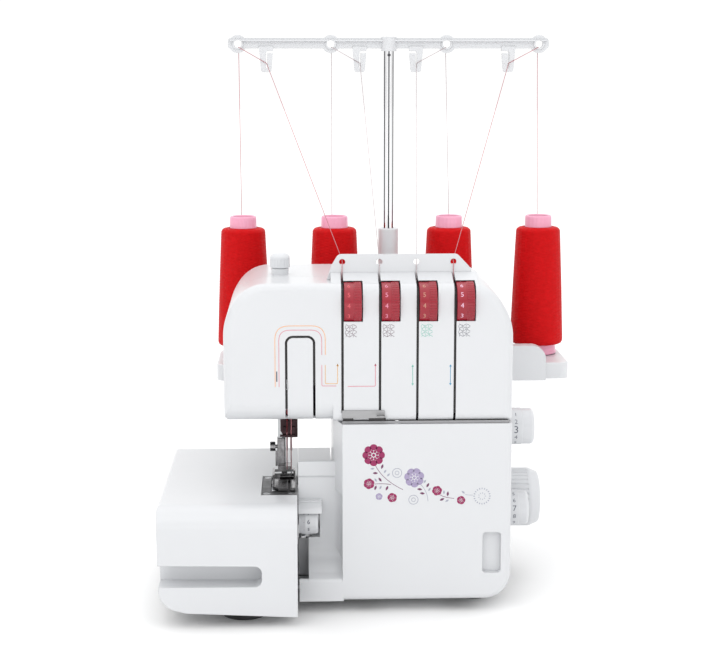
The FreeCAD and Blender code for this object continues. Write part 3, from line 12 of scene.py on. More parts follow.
import bmesh
import bpy
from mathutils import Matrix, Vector


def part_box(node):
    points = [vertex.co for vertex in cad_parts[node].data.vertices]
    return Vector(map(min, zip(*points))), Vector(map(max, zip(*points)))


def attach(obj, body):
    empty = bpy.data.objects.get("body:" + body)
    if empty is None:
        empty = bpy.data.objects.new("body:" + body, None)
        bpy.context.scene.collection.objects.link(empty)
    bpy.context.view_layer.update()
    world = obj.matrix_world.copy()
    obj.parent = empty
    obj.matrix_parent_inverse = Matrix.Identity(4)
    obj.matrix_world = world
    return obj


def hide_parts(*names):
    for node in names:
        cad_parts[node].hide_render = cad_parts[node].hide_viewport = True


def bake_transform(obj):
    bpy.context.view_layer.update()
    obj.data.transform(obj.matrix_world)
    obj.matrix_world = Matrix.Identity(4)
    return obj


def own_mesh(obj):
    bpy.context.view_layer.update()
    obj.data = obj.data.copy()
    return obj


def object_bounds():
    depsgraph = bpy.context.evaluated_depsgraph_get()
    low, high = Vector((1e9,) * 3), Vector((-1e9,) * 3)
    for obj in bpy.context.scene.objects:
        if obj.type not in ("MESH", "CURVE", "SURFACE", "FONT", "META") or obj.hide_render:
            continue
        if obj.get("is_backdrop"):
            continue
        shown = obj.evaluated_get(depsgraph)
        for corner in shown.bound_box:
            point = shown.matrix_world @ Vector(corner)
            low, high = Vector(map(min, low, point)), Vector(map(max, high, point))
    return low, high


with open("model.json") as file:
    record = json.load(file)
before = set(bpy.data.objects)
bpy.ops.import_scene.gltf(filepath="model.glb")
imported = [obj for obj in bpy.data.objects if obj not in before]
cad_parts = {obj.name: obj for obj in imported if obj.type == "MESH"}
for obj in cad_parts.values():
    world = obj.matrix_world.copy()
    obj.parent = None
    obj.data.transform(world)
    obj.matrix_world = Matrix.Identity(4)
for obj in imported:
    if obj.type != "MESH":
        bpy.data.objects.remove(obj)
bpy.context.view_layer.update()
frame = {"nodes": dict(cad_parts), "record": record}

MM = 0.001

# ---------------------------------------------------------------- places on the machine, in millimetres
SLOT_XS = (-30.7, 0.3, 31.3, 62.3)          # thread channels down the front of the head
FACE_Y = -103.0                             # front face of the head
COVER_Y = -104.0                            # front face of the looper cover
U_LEFT, U_RIGHT, U_TOP = -77.1, -54.1, 237.1    # slot round the panel above the needles
NEEDLE_XS = (-77.6, -74.0)
CONE_XS = (-118.5, -33.0, 74.5, 159.0)
CONE_Y = 98.0
EYE_XS = (-121.5, -36.0, 71.0, 156.5)       # eyes of the thread tree
HOOK_XS = (-95.5, -9.5, 42.5, 128.0)        # hooks in front of the eyes
EYE_Z, HOOK_Z = 473.1, 458.5
THREAD_R = 0.3
PRINT_DEPTH = 0.08                          # how far a print stands off its face


# ---------------------------------------------------------------- materials
def maths(tree, operation, *values):
    """Math node on one to three values, each a socket or a number."""
    made = tree.nodes.new("ShaderNodeMath")
    made.operation = operation
    for value, socket in zip(values, made.inputs):
        if isinstance(value, (int, float)):
            socket.default_value = value
        else:
            tree.links.new(value, socket)
    return made.outputs[0]


def colour_ramp(tree, value, stops):
    """Colour ramp through (position, colour) stops."""
    made = tree.nodes.new("ShaderNodeValToRGB")
    elements = made.color_ramp.elements
    while len(elements) < len(stops):
        elements.new(0.5)
    for element, (position, colour) in zip(elements, stops):
        element.position = position
        element.color = (*colour, 1.0)
    tree.links.new(value, made.inputs["Fac"])
    return made.outputs["Color"]


class Finish:
    """A node material being built around one Principled shader."""

    def __init__(self, name):
        self.material = bpy.data.materials.new(name)
        self.material.use_nodes = True
        self.tree = self.material.node_tree
        self.shader = self.tree.nodes["Principled BSDF"]
        self.place = self.node("ShaderNodeTexCoord").outputs["Object"]
        self.normal = None

    def node(self, kind, **settings):
        made = self.tree.nodes.new(kind)
        for key, value in settings.items():
            setattr(made, key, value)
        return made

    def join(self, source, target):
        self.tree.links.new(source, target)

    def set(self, **values):
        """Sets sockets of the shader by name, with underscores for spaces."""
        for key, value in values.items():
            self.shader.inputs[key.replace("_", " ")].default_value = value
        return self

    def stretched(self, stretch, source=None):
        mapping = self.node("ShaderNodeMapping")
        mapping.inputs["Scale"].default_value = stretch
        self.join(source or self.place, mapping.inputs["Vector"])
        return mapping.outputs["Vector"]

    def noise(self, scale, detail=3.0, source=None):
        made = self.node("ShaderNodeTexNoise")
        made.inputs["Scale"].default_value = scale
        made.inputs["Detail"].default_value = detail
        self.join(source or self.place, made.inputs["Vector"])
        return made.outputs["Fac"]

    def waves(self, scale, distortion=0.0, source=None, direction="X"):
        made = self.node("ShaderNodeTexWave", bands_direction=direction)
        made.inputs["Scale"].default_value = scale
        made.inputs["Distortion"].default_value = distortion
        self.join(source or self.place, made.inputs["Vector"])
        return made.outputs["Fac"]

    def span(self, value, low, high):
        """Spreads the middle of a noise, 0.3 to 0.7, over low to high."""
        made = self.node("ShaderNodeMapRange")
        made.inputs["From Min"].default_value = 0.3
        made.inputs["From Max"].default_value = 0.7
        made.inputs["To Min"].default_value = low
        made.inputs["To Max"].default_value = high
        self.join(value, made.inputs["Value"])
        return made.outputs["Result"]

    def colour(self, value, *stops):
        self.join(colour_ramp(self.tree, value, stops), self.shader.inputs["Base Color"])
        return self

    def roughness(self, value, low, high):
        self.join(self.span(value, low, high), self.shader.inputs["Roughness"])
        return self

    def soft_edges(self, radius):
        """Rounds the look of sharp edges by that radius in millimetres."""
        made = self.node("ShaderNodeBevel", samples=6)
        made.inputs["Radius"].default_value = radius * MM
        self.normal = made.outputs["Normal"]
        self.join(self.normal, self.shader.inputs["Normal"])
        return self

    def bump(self, value, depth):
        """Raises the surface by value times a depth in millimetres."""
        made = self.node("ShaderNodeBump")
        made.inputs["Distance"].default_value = depth * MM
        self.join(value, made.inputs["Height"])
        if self.normal:
            self.join(self.normal, made.inputs["Normal"])
        self.normal = made.outputs["Normal"]
        self.join(self.normal, self.shader.inputs["Normal"])
        return self


def scaled(colour, factor):
    return tuple(min(1.0, c * factor) for c in colour)


def moulded(name, colour, rough, edge, spread=0.008, grain=0.008):
    """Glossy moulded plastic: faint colour drift, fine grain and rounded edges."""
    f = Finish(name)
    f.colour(f.noise(14.0), (0.25, scaled(colour, 1.0 - spread)), (0.75, scaled(colour, 1.0 + spread)))
    f.roughness(f.noise(55.0, 5.0), rough - 0.02, rough + 0.03)
    f.soft_edges(edge).bump(f.noise(1900.0, 2.0), grain).bump(f.noise(35.0, 1.0), 0.015)
    return f.set(IOR=1.5, Coat_Weight=0.25, Coat_Roughness=0.12).material


def brushed(name, colour, rough, stretch, spread=0.12, depth=0.02):
    """Bright metal with fine lines along one direction."""
    f = Finish(name)
    lines = f.noise(260.0, 5.0, f.stretched(stretch))
    f.colour(lines, (0.25, scaled(colour, 1.0 - spread)), (0.8, scaled(colour, 1.0 + spread)))
    f.roughness(f.noise(90.0, 4.0), rough - 0.06, rough + 0.1)
    f.soft_edges(0.25).bump(lines, depth)
    return f.set(Metallic=1.0).material


def cast(name, colour, rough, metallic):
    """Cast or painted metal: pebbled skin with a faint darker and lighter drift of tone."""
    f = Finish(name)
    pebbles = f.noise(700.0, 4.0)
    f.colour(f.noise(40.0, 4.0), (0.2, scaled(colour, 0.8)), (0.8, scaled(colour, 1.12)))
    f.roughness(pebbles, rough - 0.08, rough + 0.12)
    f.soft_edges(0.4).bump(pebbles, 0.05)
    return f.set(Metallic=metallic).material


def rubber(name):
    """Dull black rubber."""
    f = Finish(name)
    f.colour(f.noise(120.0, 4.0), (0.2, (0.012, 0.012, 0.013)), (0.8, (0.035, 0.035, 0.037)))
    f.roughness(f.noise(300.0, 3.0), 0.6, 0.8)
    f.soft_edges(0.4).bump(f.noise(1500.0, 3.0), 0.04)
    return f.material


# How many painted reflection bands run round a chrome tube.
CHROME_REFLECTION_BANDS = 7.0


def chrome(name):
    """Drawn and plated tube: mirror bright, with painted reflections as dark bands round it that follow its
    length.
    """
    f = Finish(name)
    # Painted reflections: the base colour turns dark in bands set by which way the surface faces, standing
    # in for dark surroundings mirrored in the tube.
    facing = f.node("ShaderNodeSeparateXYZ")
    f.join(f.node("ShaderNodeTexCoord").outputs["Normal"], facing.inputs["Vector"])
    turn = maths(f.tree, "ARCTAN2", facing.outputs["X"], facing.outputs["Y"])
    lines = maths(f.tree, "COSINE", maths(f.tree, "MULTIPLY", turn, CHROME_REFLECTION_BANDS))
    share = maths(f.tree, "MULTIPLY_ADD", lines, 0.5, 0.5)
    f.colour(share, (0.16, (0.06, 0.06, 0.065)), (0.32, (0.80, 0.80, 0.81)))
    marks = f.noise(900.0, 4.0, f.stretched((1.0, 1.0, 0.02)))
    f.roughness(marks, 0.05, 0.11)
    f.bump(marks, 0.002)
    return f.set(Metallic=1.0).material


def yarn(name, dark, light):
    """Wound thread, from the piece's own UV: fine turns that cross each other."""
    f = Finish(name)
    uv = f.node("ShaderNodeTexCoord").outputs["UV"]
    turns = f.waves(1.0, 0.4, f.stretched((9.0, 90.0, 1.0), uv), "DIAGONAL")
    back = f.waves(1.0, 0.4, f.stretched((-9.0, 90.0, 1.0), uv), "DIAGONAL")
    f.colour(f.noise(260.0, 5.0), (0.3, dark), (0.7, light))
    f.roughness(turns, 0.5, 0.68)
    f.bump(maths(f.tree, "MAXIMUM", turns, back), 0.12)
    return f.set(Specular_IOR_Level=0.12).material


def spun(name, dark, light):
    """One thread: tight twist along its length."""
    f = Finish(name)
    twist = f.waves(900.0, 1.0, direction="DIAGONAL")
    f.colour(twist, (0.2, dark), (0.8, light))
    f.roughness(f.noise(500.0), 0.5, 0.7)
    f.bump(twist, 0.05)
    return f.material


def ink(name, colour):
    """Screen-printed ink: slightly uneven cover."""
    f = Finish(name)
    f.colour(f.noise(900.0, 4.0), (0.2, scaled(colour, 0.82)), (0.8, scaled(colour, 1.15)))
    f.roughness(f.noise(200.0), 0.35, 0.5)
    f.bump(f.noise(2500.0), 0.01)
    return f.material


def lens(name):
    """Milky lamp cover with faint ribs."""
    f = Finish(name)
    f.colour(f.noise(200.0), (0.2, (0.86, 0.86, 0.83)), (0.8, (0.95, 0.95, 0.92)))
    f.roughness(f.noise(400.0), 0.2, 0.35)
    f.bump(f.waves(260.0), 0.03)
    return f.set(Transmission_Weight=0.35).material


WHITE = (0.625, 0.635, 0.652)
CRIMSON = (0.29, 0.002, 0.016)
FINISHES = {
    "casing_plastic": moulded("casing_white", WHITE, 0.3, 0.7),
    "dial_white": moulded("dial_white", (0.62, 0.63, 0.65), 0.34, 0.5),
    "dial_red": moulded("dial_crimson", CRIMSON, 0.3, 0.3, spread=0.18),
    "black_plastic": moulded("black_plastic", (0.016, 0.016, 0.018), 0.45, 0.3, spread=0.25, grain=0.03),
    "rubber": rubber("rubber_black"),
    "base_steel": brushed("zinc_sheet", (0.5, 0.51, 0.52), 0.42, (1.0, 0.06, 0.06)),
    "frame_alloy": cast("cast_alloy", (0.5, 0.5, 0.51), 0.5, 1.0),
    "bright_steel": brushed("bright_steel", (0.46, 0.47, 0.48), 0.22, (1.0, 1.0, 0.05), depth=0.008),
    "dark_steel": brushed("dark_steel", (0.10, 0.10, 0.105), 0.34, (1.0, 0.06, 1.0), spread=0.25),
    "bronze": cast("sintered_bronze", (0.5, 0.32, 0.14), 0.42, 1.0),
    "motor_shell": cast("motor_paint", (0.07, 0.07, 0.075), 0.4, 0.6),
    "lens": lens("lamp_lens"),
    "chrome_tube": chrome("chrome"),
    "cone_thread": yarn("red_winding", (0.49, 0.001, 0.002), (0.57, 0.002, 0.004)),
    "spool_thread": spun("pale_thread", (0.42, 0.34, 0.35), (0.62, 0.54, 0.55)),
}
TUBE_PINK = moulded("cone_tube_pink", (0.80, 0.36, 0.50), 0.38, 0.4, spread=0.05)
RED_THREAD = spun("red_thread", (0.10, 0.006, 0.010), (0.22, 0.014, 0.02))
ROSE_THREAD = spun("rose_thread", (0.42, 0.14, 0.16), (0.60, 0.27, 0.29))
# Painted shade: grey for the seam under the head, near black for the thread channels, the slot round the
# panel and two small gaps.
SEAM_SHADE_GREY = moulded("seam_painted_shade", (0.30, 0.30, 0.31), 0.5, 0.2)
SLOT_SHADE_BLACK = moulded("slot_painted_shade", (0.012, 0.010, 0.011), 0.5, 0.2, spread=0.2, grain=0.03)
GUIDE_GREY = brushed("guide_grey", (0.36, 0.36, 0.365), 0.4, (0.1, 1.0, 1.0))
CLAMP_BLACK = brushed("clamp_black", (0.035, 0.022, 0.024), 0.2, (1.0, 1.0, 0.2), spread=0.5, depth=0.03)
# Presser foot and shank: bright steel given a darker base colour, painted shade standing in for the dark
# reflections the foot shows in a studio; its fine lines are brushing.
FOOT_STEEL_PAINTED_DARK = brushed("foot_steel_painted_dark", (0.25, 0.245, 0.25), 0.16, (1.0, 0.3, 1.0), spread=0.45, depth=0.03)
OWN_FINISHES = {"needle_clamp": CLAMP_BLACK, "presser_foot": FOOT_STEEL_PAINTED_DARK, "foot_shank": FOOT_STEEL_PAINTED_DARK,
                "lower_thread_guide": GUIDE_GREY}

for row in frame["record"]["subparts"]:
    materials = frame["nodes"][row["node"]].data.materials
    materials.clear()
    materials.append(OWN_FINISHES.get(row["node"], FINISHES[row["material_slot"]]))


# ---------------------------------------------------------------- making meshes
def piece(name, bm, material, body, smooth=True):
    """Turns a bmesh in millimetres into a piece that rides on a body."""
    bmesh.ops.scale(bm, vec=(MM, MM, MM), verts=bm.verts)
    bmesh.ops.recalc_face_normals(bm, faces=bm.faces)
    mesh = bpy.data.meshes.new(name)
    bm.to_mesh(mesh)
    bm.free()
    if smooth:
        mesh.shade_smooth()
    else:
        mesh.shade_flat()
    mesh.materials.append(material)
    made = bpy.data.objects.new(name, mesh)
    bpy.context.scene.collection.objects.link(made)
    if body:
        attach(made, body)
    return made


def ring_angles(count):
    return [2.0 * math.pi * k / count for k in range(count)]


def around(x, z, reach, angle):
    """Point at a distance and an angle from (x, z)."""
    return (x + reach * math.cos(angle), z + reach * math.sin(angle))


def skin(bm, rings, closed=False):
    """Quads between rings of vertices; closed joins the last ring to the first, or else both are capped."""
    pairs = list(zip(rings, rings[1:]))
    if closed:
        pairs.append((rings[-1], rings[0]))
    for below, above in pairs:
        count = len(below)
        for k in range(count):
            bm.faces.new((below[k], below[(k + 1) % count], above[(k + 1) % count], above[k]))
    if not closed:
        bm.faces.new(reversed(rings[0]))
        bm.faces.new(rings[-1])


def revolved(bm, centre, profile, segments, ripple):
    """Solid ring about a vertical axis from a closed profile of (radius, z); ripple adds to a radius."""
    uv = bm.loops.layers.uv.verify()
    rings = []
    for r, z in profile:
        ring = []
        for angle in ring_angles(segments):
            x, y = around(*centre, r + ripple(r, z, angle), angle)
            ring.append(bm.verts.new((x, y, z)))
        rings.append(ring)
    skin(bm, rings, closed=True)
    low = min(z for r, z in profile)
    high = max(z for r, z in profile)
    for face in bm.faces:
        for loop in face.loops:
            co = loop.vert.co
            turn = math.atan2(co.y - centre[1], co.x - centre[0]) / (2.0 * math.pi)
            loop[uv].uv = (turn, (co.z - low) / (high - low))


def tube(bm, points, radius, segments=10, side=(1.0, 0.0, 0.0)):
    """Round closed tube through points that never run along side; its rings bisect each corner."""
    points = [Vector(p) for p in points]
    side = Vector(side)
    rings = []
    for i, point in enumerate(points):
        before = points[max(i - 1, 0)]
        after = points[min(i + 1, len(points) - 1)]
        along = (after - before).normalized()
        across = (side - along * side.dot(along)).normalized()
        upward = along.cross(across)
        ring = []
        for angle in ring_angles(segments):
            spoke = math.cos(angle) * across + math.sin(angle) * upward
            ring.append(bm.verts.new(point + radius * spoke))
        rings.append(ring)
    skin(bm, rings)


def bend_at(a, bend, b, t):
    """Point at share t of the curve from a to b that leans towards bend."""
    return tuple((1 - t) ** 2 * Vector(a) + 2 * t * (1 - t) * Vector(bend) + t * t * Vector(b))


def arcs(points, radius):
    """Path through points with its inner corners rounded."""
    steps = 6
    path = [points[0]]
    for before, at, after in zip(points, points[1:], points[2:]):
        corner = Vector(at)
        start = corner + (Vector(before) - corner).normalized() * radius
        end = corner + (Vector(after) - corner).normalized() * radius
        path += [bend_at(start, corner, end, k / steps) for k in range(steps + 1)]
    path.append(points[-1])
    return path


def curve_path(a, bend, b):
    steps = 14
    return [bend_at(a, bend, b, k / steps) for k in range(steps + 1)]


def ribbon(bm, path, width, y, depth=PRINT_DEPTH, closed=False):
    """Flat closed strip along a path of (x, z), standing off a face at y that looks towards -Y."""
    count = len(path)
    rows = []
    for i, (x, z) in enumerate(path):
        before = path[i - 1] if i or closed else path[i]
        after = path[(i + 1) % count] if i + 1 < count or closed else path[i]
        along = Vector((after[0] - before[0], after[1] - before[1])).normalized()
        dx, dz = -along.y * width / 2, along.x * width / 2
        corners = ((dx, 0.0, dz), (dx, depth, dz), (-dx, depth, -dz), (-dx, 0.0, -dz))
        rows.append([bm.verts.new((x + u, y - out, z + w)) for u, out, w in corners])
    skin(bm, rows, closed)


def patch(bm, shape, y, depth=PRINT_DEPTH):
    """Flat closed plate with an outline of (x, z), standing off a face at y."""
    front = [bm.verts.new((x, y - depth, z)) for x, z in shape]
    back = [bm.verts.new((x, y, z)) for x, z in shape]
    skin(bm, [front, back])


def oval(x, z, length, width, angle=0.0, count=16, tip=0.0):
    """Ellipse about (x, z); tip above zero draws its two ends out to points, as on a leaf."""
    shape = []
    for t in ring_angles(count):
        u = length / 2 * math.cos(t)
        v = width / 2 * math.sin(t) * (1.0 - tip * abs(math.cos(t)))
        shape.append((x + u * math.cos(angle) - v * math.sin(angle),
                      z + u * math.sin(angle) + v * math.cos(angle)))
    return shape


def circle(x, z, radius, count=28):
    return [around(x, z, radius, angle) for angle in ring_angles(count)]


def slab(bm, x0, x1, y0, y1, z0, z1):
    """Plain closed block between three pairs of places."""
    low = [bm.verts.new(p) for p in ((x0, y0, z0), (x1, y0, z0), (x1, y1, z0), (x0, y1, z0))]
    high = [bm.verts.new(p) for p in ((x0, y0, z1), (x1, y0, z1), (x1, y1, z1), (x0, y1, z1))]
    skin(bm, [low, high])


def numeral(bm, text, size, wrap):
    """Adds one raised number; wrap places each of its points, given as (across, up, out).

    Cuts at even heights come first, so that the flat number can bend round a wheel.
    """
    curve = bpy.data.curves.new("numeral", "FONT")
    curve.body = text
    curve.size = size
    curve.extrude = 0.05
    curve.resolution_u = 3
    curve.align_x = "CENTER"
    curve.align_y = "CENTER"
    source = bpy.data.objects.new("numeral", curve)
    mesh = bpy.data.meshes.new_from_object(source)
    number = bmesh.new()
    number.from_mesh(mesh)
    bmesh.ops.remove_doubles(number, verts=number.verts, dist=0.002)
    for k in range(-4, 5):
        everything = number.verts[:] + number.edges[:] + number.faces[:]
        height = (0.0, 0.1 * k * size, 0.0)
        bmesh.ops.bisect_plane(number, geom=everything, plane_co=height, plane_no=(0.0, 1.0, 0.0))
    for vert in number.verts:
        vert.co = wrap(vert.co.x, vert.co.y, vert.co.z)
    number.to_mesh(mesh)
    number.free()
    bm.from_mesh(mesh)
    bpy.data.objects.remove(source)
    bpy.data.curves.remove(curve)
    bpy.data.meshes.remove(mesh)


def round_dial(centre, x, radius, start):
    """Wrap for numeral on a wheel about +X: start is the angle above the front of the wheel."""
    def place(across, up, out):
        angle = start + up / radius
        y = centre[0] - (radius + out) * math.cos(angle)
        z = centre[1] + (radius + out) * math.sin(angle)
        return (x + across, y, z)
    return place


def axis_of(node):
    """(y, z) of the middle of a node that turns about X, in millimetres."""
    low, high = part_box(node)
    return ((low.y + high.y) / 2 / MM, (low.z + high.z) / 2 / MM)


# ---------------------------------------------------------------- thread cones
CONE_LOW, CONE_HIGH = 186.4, 317.5          # ends of a cone tube
TUBE_LOW_R, TUBE_HIGH_R = 18.6, 12.2        # its radius at both ends
TUBE_WALL = 2.2
RING_Z = 305.8                              # foot of its top ring
RIBS = 20.0                                 # how many grip ribs run round that ring
WIND_LOW, WIND_HIGH = 196.2, 306.6          # ends of a winding
WIND_LOW_R, WIND_HIGH_R = 25.0, 20.5
WIND_RINGS = 230
FOOT_HEIGHT, FOOT_DEPTH = 4.5, 2.4          # rounded shoulder at the foot of a winding
TOP_HEIGHT, TOP_DEPTH = 4.0, 4.5            # and at its top
TURN_PITCH, TURN_DEPTH = 2.6, 0.13          # ridges of the thread on a winding
TURN_STARTS = 13.0                          # how many ridges run side by side, each way


def tube_radius(z):
    return TUBE_LOW_R + (TUBE_HIGH_R - TUBE_LOW_R) * (z - CONE_LOW) / (CONE_HIGH - CONE_LOW)


def ring_ribs(r, z, angle):
    """Grip ribs round the top ring of a cone tube."""
    if z < RING_Z + 1.5 or z > CONE_HIGH - 1.5 or r < TUBE_HIGH_R - 1.0:
        return 0.0
    return -0.35 * max(0.0, math.cos(RIBS * angle)) ** 3


def tube_profile():
    """Beaded foot, plain taper and top ring of a cone tube, closed by its bore."""
    outer = [(TUBE_LOW_R - 0.2, CONE_LOW), (TUBE_LOW_R + 0.4, CONE_LOW + 0.5),
             (TUBE_LOW_R + 0.4, CONE_LOW + 2.0), (TUBE_LOW_R - 0.2, CONE_LOW + 2.8)]
    outer += [(tube_radius(z) - 0.15, z) for z in (195.0, 230.0, 265.0, RING_Z - 1.0)]
    outer += [(TUBE_HIGH_R + 0.35, RING_Z)]
    outer += [(TUBE_HIGH_R + 0.35 - 0.03 * k, RING_Z + 1.6 + k * 1.15) for k in range(8)]
    outer += [(TUBE_HIGH_R - 0.1, CONE_HIGH - 0.8), (TUBE_HIGH_R - 0.6, CONE_HIGH - 0.15),
              (TUBE_HIGH_R - 1.2, CONE_HIGH)]
    inner = [(TUBE_HIGH_R - 2.0, CONE_HIGH - 0.1), (TUBE_HIGH_R - 2.4, CONE_HIGH - 0.8)]
    inner += [(tube_radius(z) - TUBE_WALL, z) for z in (300.0, 260.0, 220.0, CONE_LOW + 1.0)]
    return outer + inner


def winding_profile():
    """Barrelled taper with rounded shoulders, closed by the bore over the tube."""
    profile = []
    for k in range(WIND_RINGS + 1):
        t = k / WIND_RINGS
        z = WIND_LOW + (WIND_HIGH - WIND_LOW) * t
        r = WIND_LOW_R + (WIND_HIGH_R - WIND_LOW_R) * t + 0.25 * math.sin(math.pi * t)
        foot = max(0.0, 1.0 - (z - WIND_LOW) / FOOT_HEIGHT)
        top = max(0.0, 1.0 - (WIND_HIGH - z) / TOP_HEIGHT)
        r -= FOOT_DEPTH * (1.0 - math.sqrt(1.0 - foot ** 2))
        r -= TOP_DEPTH * (1.0 - math.sqrt(1.0 - top ** 2))
        profile.append((r, z))
    profile += [(tube_radius(WIND_HIGH) + 0.2, WIND_HIGH + 0.2)]
    profile += [(tube_radius(z) + 0.05, z) for z in (280.0, 240.0, WIND_LOW)]
    return profile


def crossed_turns(r, z, angle):
    """Ridges of the crossing turns of thread."""
    if r < tube_radius(z) + 1.2 or z > WIND_HIGH:
        return 0.0
    climb = 2.0 * math.pi * z / TURN_PITCH
    ridge = max(math.cos(climb + TURN_STARTS * angle), math.cos(climb - TURN_STARTS * angle))
    return TURN_DEPTH * (ridge - 1.0)


for i, x in enumerate(CONE_XS):
    bm = bmesh.new()
    revolved(bm, (x, CONE_Y), tube_profile(), 120, ring_ribs)
    piece(f"cone_tube_{i + 1}", bm, TUBE_PINK, f"cone_{i + 1}")
    bm = bmesh.new()
    revolved(bm, (x, CONE_Y), winding_profile(), 96, crossed_turns)
    winding = piece(f"cone_winding_{i + 1}", bm, FINISHES["cone_thread"], f"cone_{i + 1}")
    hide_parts(f"thread_cone_{i + 1}")


# ---------------------------------------------------------------- threads
CONE_SHOULDER_Z = 305.0                     # where a thread leaves its winding
PLATE_Z = 296.9                             # where it passes the plate on top of the head
CLAMP_Y, CLAMP_Z = -59.9, 158.0             # where the needle threads pass the needle clamp
THREAD_INKS = (ROSE_THREAD, FINISHES["spool_thread"], FINISHES["spool_thread"], ROSE_THREAD)


def thread(name, points, radius, material, body):
    bm = bmesh.new()
    tube(bm, points, radius)
    return piece(name, bm, material, body)


for i, x in enumerate(CONE_XS):
    side = 1 if i < 2 else -1
    shoulder = (x - 2.0 * side, CONE_Y + 19.8, CONE_SHOULDER_Z)
    behind = (EYE_XS[i] + 0.6 * side, CONE_Y + 4.2, EYE_Z)
    before = (EYE_XS[i] + 0.8 * side, CONE_Y - 4.0, EYE_Z)
    hook = (HOOK_XS[i] + 0.3, CONE_Y - 3.6, HOOK_Z)
    slot_x = SLOT_XS[i]
    plate = (slot_x + 0.5, -72.6, PLATE_Z)
    into_slot = [(slot_x + 0.5, -77.0, 294.6), (slot_x + 0.1, -78.6, 284.0), (slot_x, -86.0, 277.5)]
    rising = thread(f"thread_rising_{i + 1}", [shoulder, behind], THREAD_R, THREAD_INKS[i], "root")
    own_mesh(rising)
    turned = thread(f"thread_in_eye_{i + 1}", [behind, before, hook], THREAD_R, THREAD_INKS[i],
                    "thread_tree")
    falling = thread(f"thread_falling_{i + 1}", [hook, plate], THREAD_R, THREAD_INKS[i], "root")
    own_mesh(falling)
    thread(f"thread_channel_{i + 1}", [plate, *into_slot], THREAD_R, THREAD_INKS[i], "root")
    if i == 0:
        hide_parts("spool_threads")

for i, x in enumerate(NEEDLE_XS):
    colour = (RED_THREAD, ROSE_THREAD)[i]
    out_of_slot = [(U_LEFT - 0.2 + 0.5 * i, -99.5, 197.0), (U_LEFT + 0.5 * i, -97.5, 172.0)]
    to_clamp = [(x + 0.4, CLAMP_Y, CLAMP_Z), (x + 0.2, CLAMP_Y, 147.0)]
    upper = thread(f"needle_thread_upper_{i + 1}", out_of_slot + to_clamp, 0.4, colour, None)
    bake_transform(upper)
    to_needle = [(x + 0.2, CLAMP_Y, 147.4), (x, -55.0, 138.0), (x, -53.4, 112.5)]
    thread(f"needle_thread_lower_{i + 1}", to_needle, 0.32, ROSE_THREAD, "needle_drive")


# ---------------------------------------------------------------- spring round the presser bar
SPRING_TURNS, SPRING_WIRE = 11, 0.6
SPRING_STEPS = 24                           # in one turn
low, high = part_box("presser_spring")
middle = ((low.x + high.x) / 2 / MM, (low.y + high.y) / 2 / MM)
coil_r = (high.x - low.x) / 2 / MM - SPRING_WIRE - 0.05
rise = (high.z - low.z) / MM - 2 * SPRING_WIRE - 0.2
coil = []
for k in range(SPRING_TURNS * SPRING_STEPS + 1):
    z = low.z / MM + SPRING_WIRE + 0.1 + rise * k / (SPRING_TURNS * SPRING_STEPS)
    coil.append((*around(*middle, coil_r, 2.0 * math.pi * k / SPRING_STEPS), z))
bm = bmesh.new()
tube(bm, coil, SPRING_WIRE, 8, side=(0.0, 0.0, 1.0))
spring = piece("presser_coil", bm, FINISHES["bright_steel"], "root")
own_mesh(spring)
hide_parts("presser_spring")


# ---------------------------------------------------------------- dark sheets of painted shade in the channels, slots and seams
SLOT_FEET = (175.0, 175.0, 172.0, 172.0)    # foot of each thread channel
SHADE_SHEET_Y = -100.3                            # front of the dark sheets of painted shade in the channels and slots
SHADE_SHEET_BACK_Y = -99.8
# Near black sheets deep in each thread channel: painted shade.
for i, x in enumerate(SLOT_XS):
    bm = bmesh.new()
    rows = []
    for y, z in ((SHADE_SHEET_Y, SLOT_FEET[i]), (SHADE_SHEET_Y, 271.0), (-97.5, 275.0), (-76.8, 281.6)):
        left, right = x - 1.5, x + 1.2
        corners = ((left, y, z), (right, y, z), (right, y + 0.6, z - 0.4), (left, y + 0.6, z - 0.4))
        rows.append([bm.verts.new(corner) for corner in corners])
    skin(bm, rows)
    piece(f"channel_shade_{i + 1}", bm, SLOT_SHADE_BLACK, "root", smooth=False)

# Painted shade: near black blocks in the slot round the panel above the needles, a grey strip in the seam
# under the head and two short near black bars in front of the head just above that seam.
PANEL_SHADE_BLOCKS = (                            # (x0, x1, y0, y1, z0, z1) of each block, as in slab
    (U_LEFT - 2.2, U_LEFT + 1.6, SHADE_SHEET_Y, SHADE_SHEET_BACK_Y, 176.0, U_TOP + 1.6),
    (U_RIGHT - 1.6, U_RIGHT + 1.6, SHADE_SHEET_Y, SHADE_SHEET_BACK_Y, 196.0, U_TOP + 1.6),
    (U_LEFT + 1.7, U_RIGHT - 1.7, SHADE_SHEET_Y, SHADE_SHEET_BACK_Y, U_TOP - 1.6, U_TOP + 1.6),
)
SEAM_SHADE_BLOCKS = ((-31.0, 108.0, -101.9, -101.2, 163.4, 165.6),)
GAP_SHADE_BLOCKS = ((-30.6, -21.8, -104.2, -103.0, 166.7, 168.5), (-9.0, 5.1, -104.2, -103.0, 166.7, 168.5))
TRAY_BLOCKS = ((-68.2, -40.0, -63.6, -63.0, 21.0, 54.0), (-68.2, -40.0, -62.9, -30.0, 20.4, 20.9))
for name, blocks, material, slot in (
        ("panel_slot_shade", PANEL_SHADE_BLOCKS, SLOT_SHADE_BLACK, "black_plastic"),
        ("seam_shade", SEAM_SHADE_BLOCKS, SEAM_SHADE_GREY, "casing_plastic"),
        ("guide_gap_shade", GAP_SHADE_BLOCKS, SLOT_SHADE_BLACK, "black_plastic"),
        ("looper_tray", TRAY_BLOCKS, FINISHES["casing_plastic"], "casing_plastic")):
    bm = bmesh.new()
    for block in blocks:
        slab(bm, *block)
    piece(name, bm, material, "root", smooth=False)

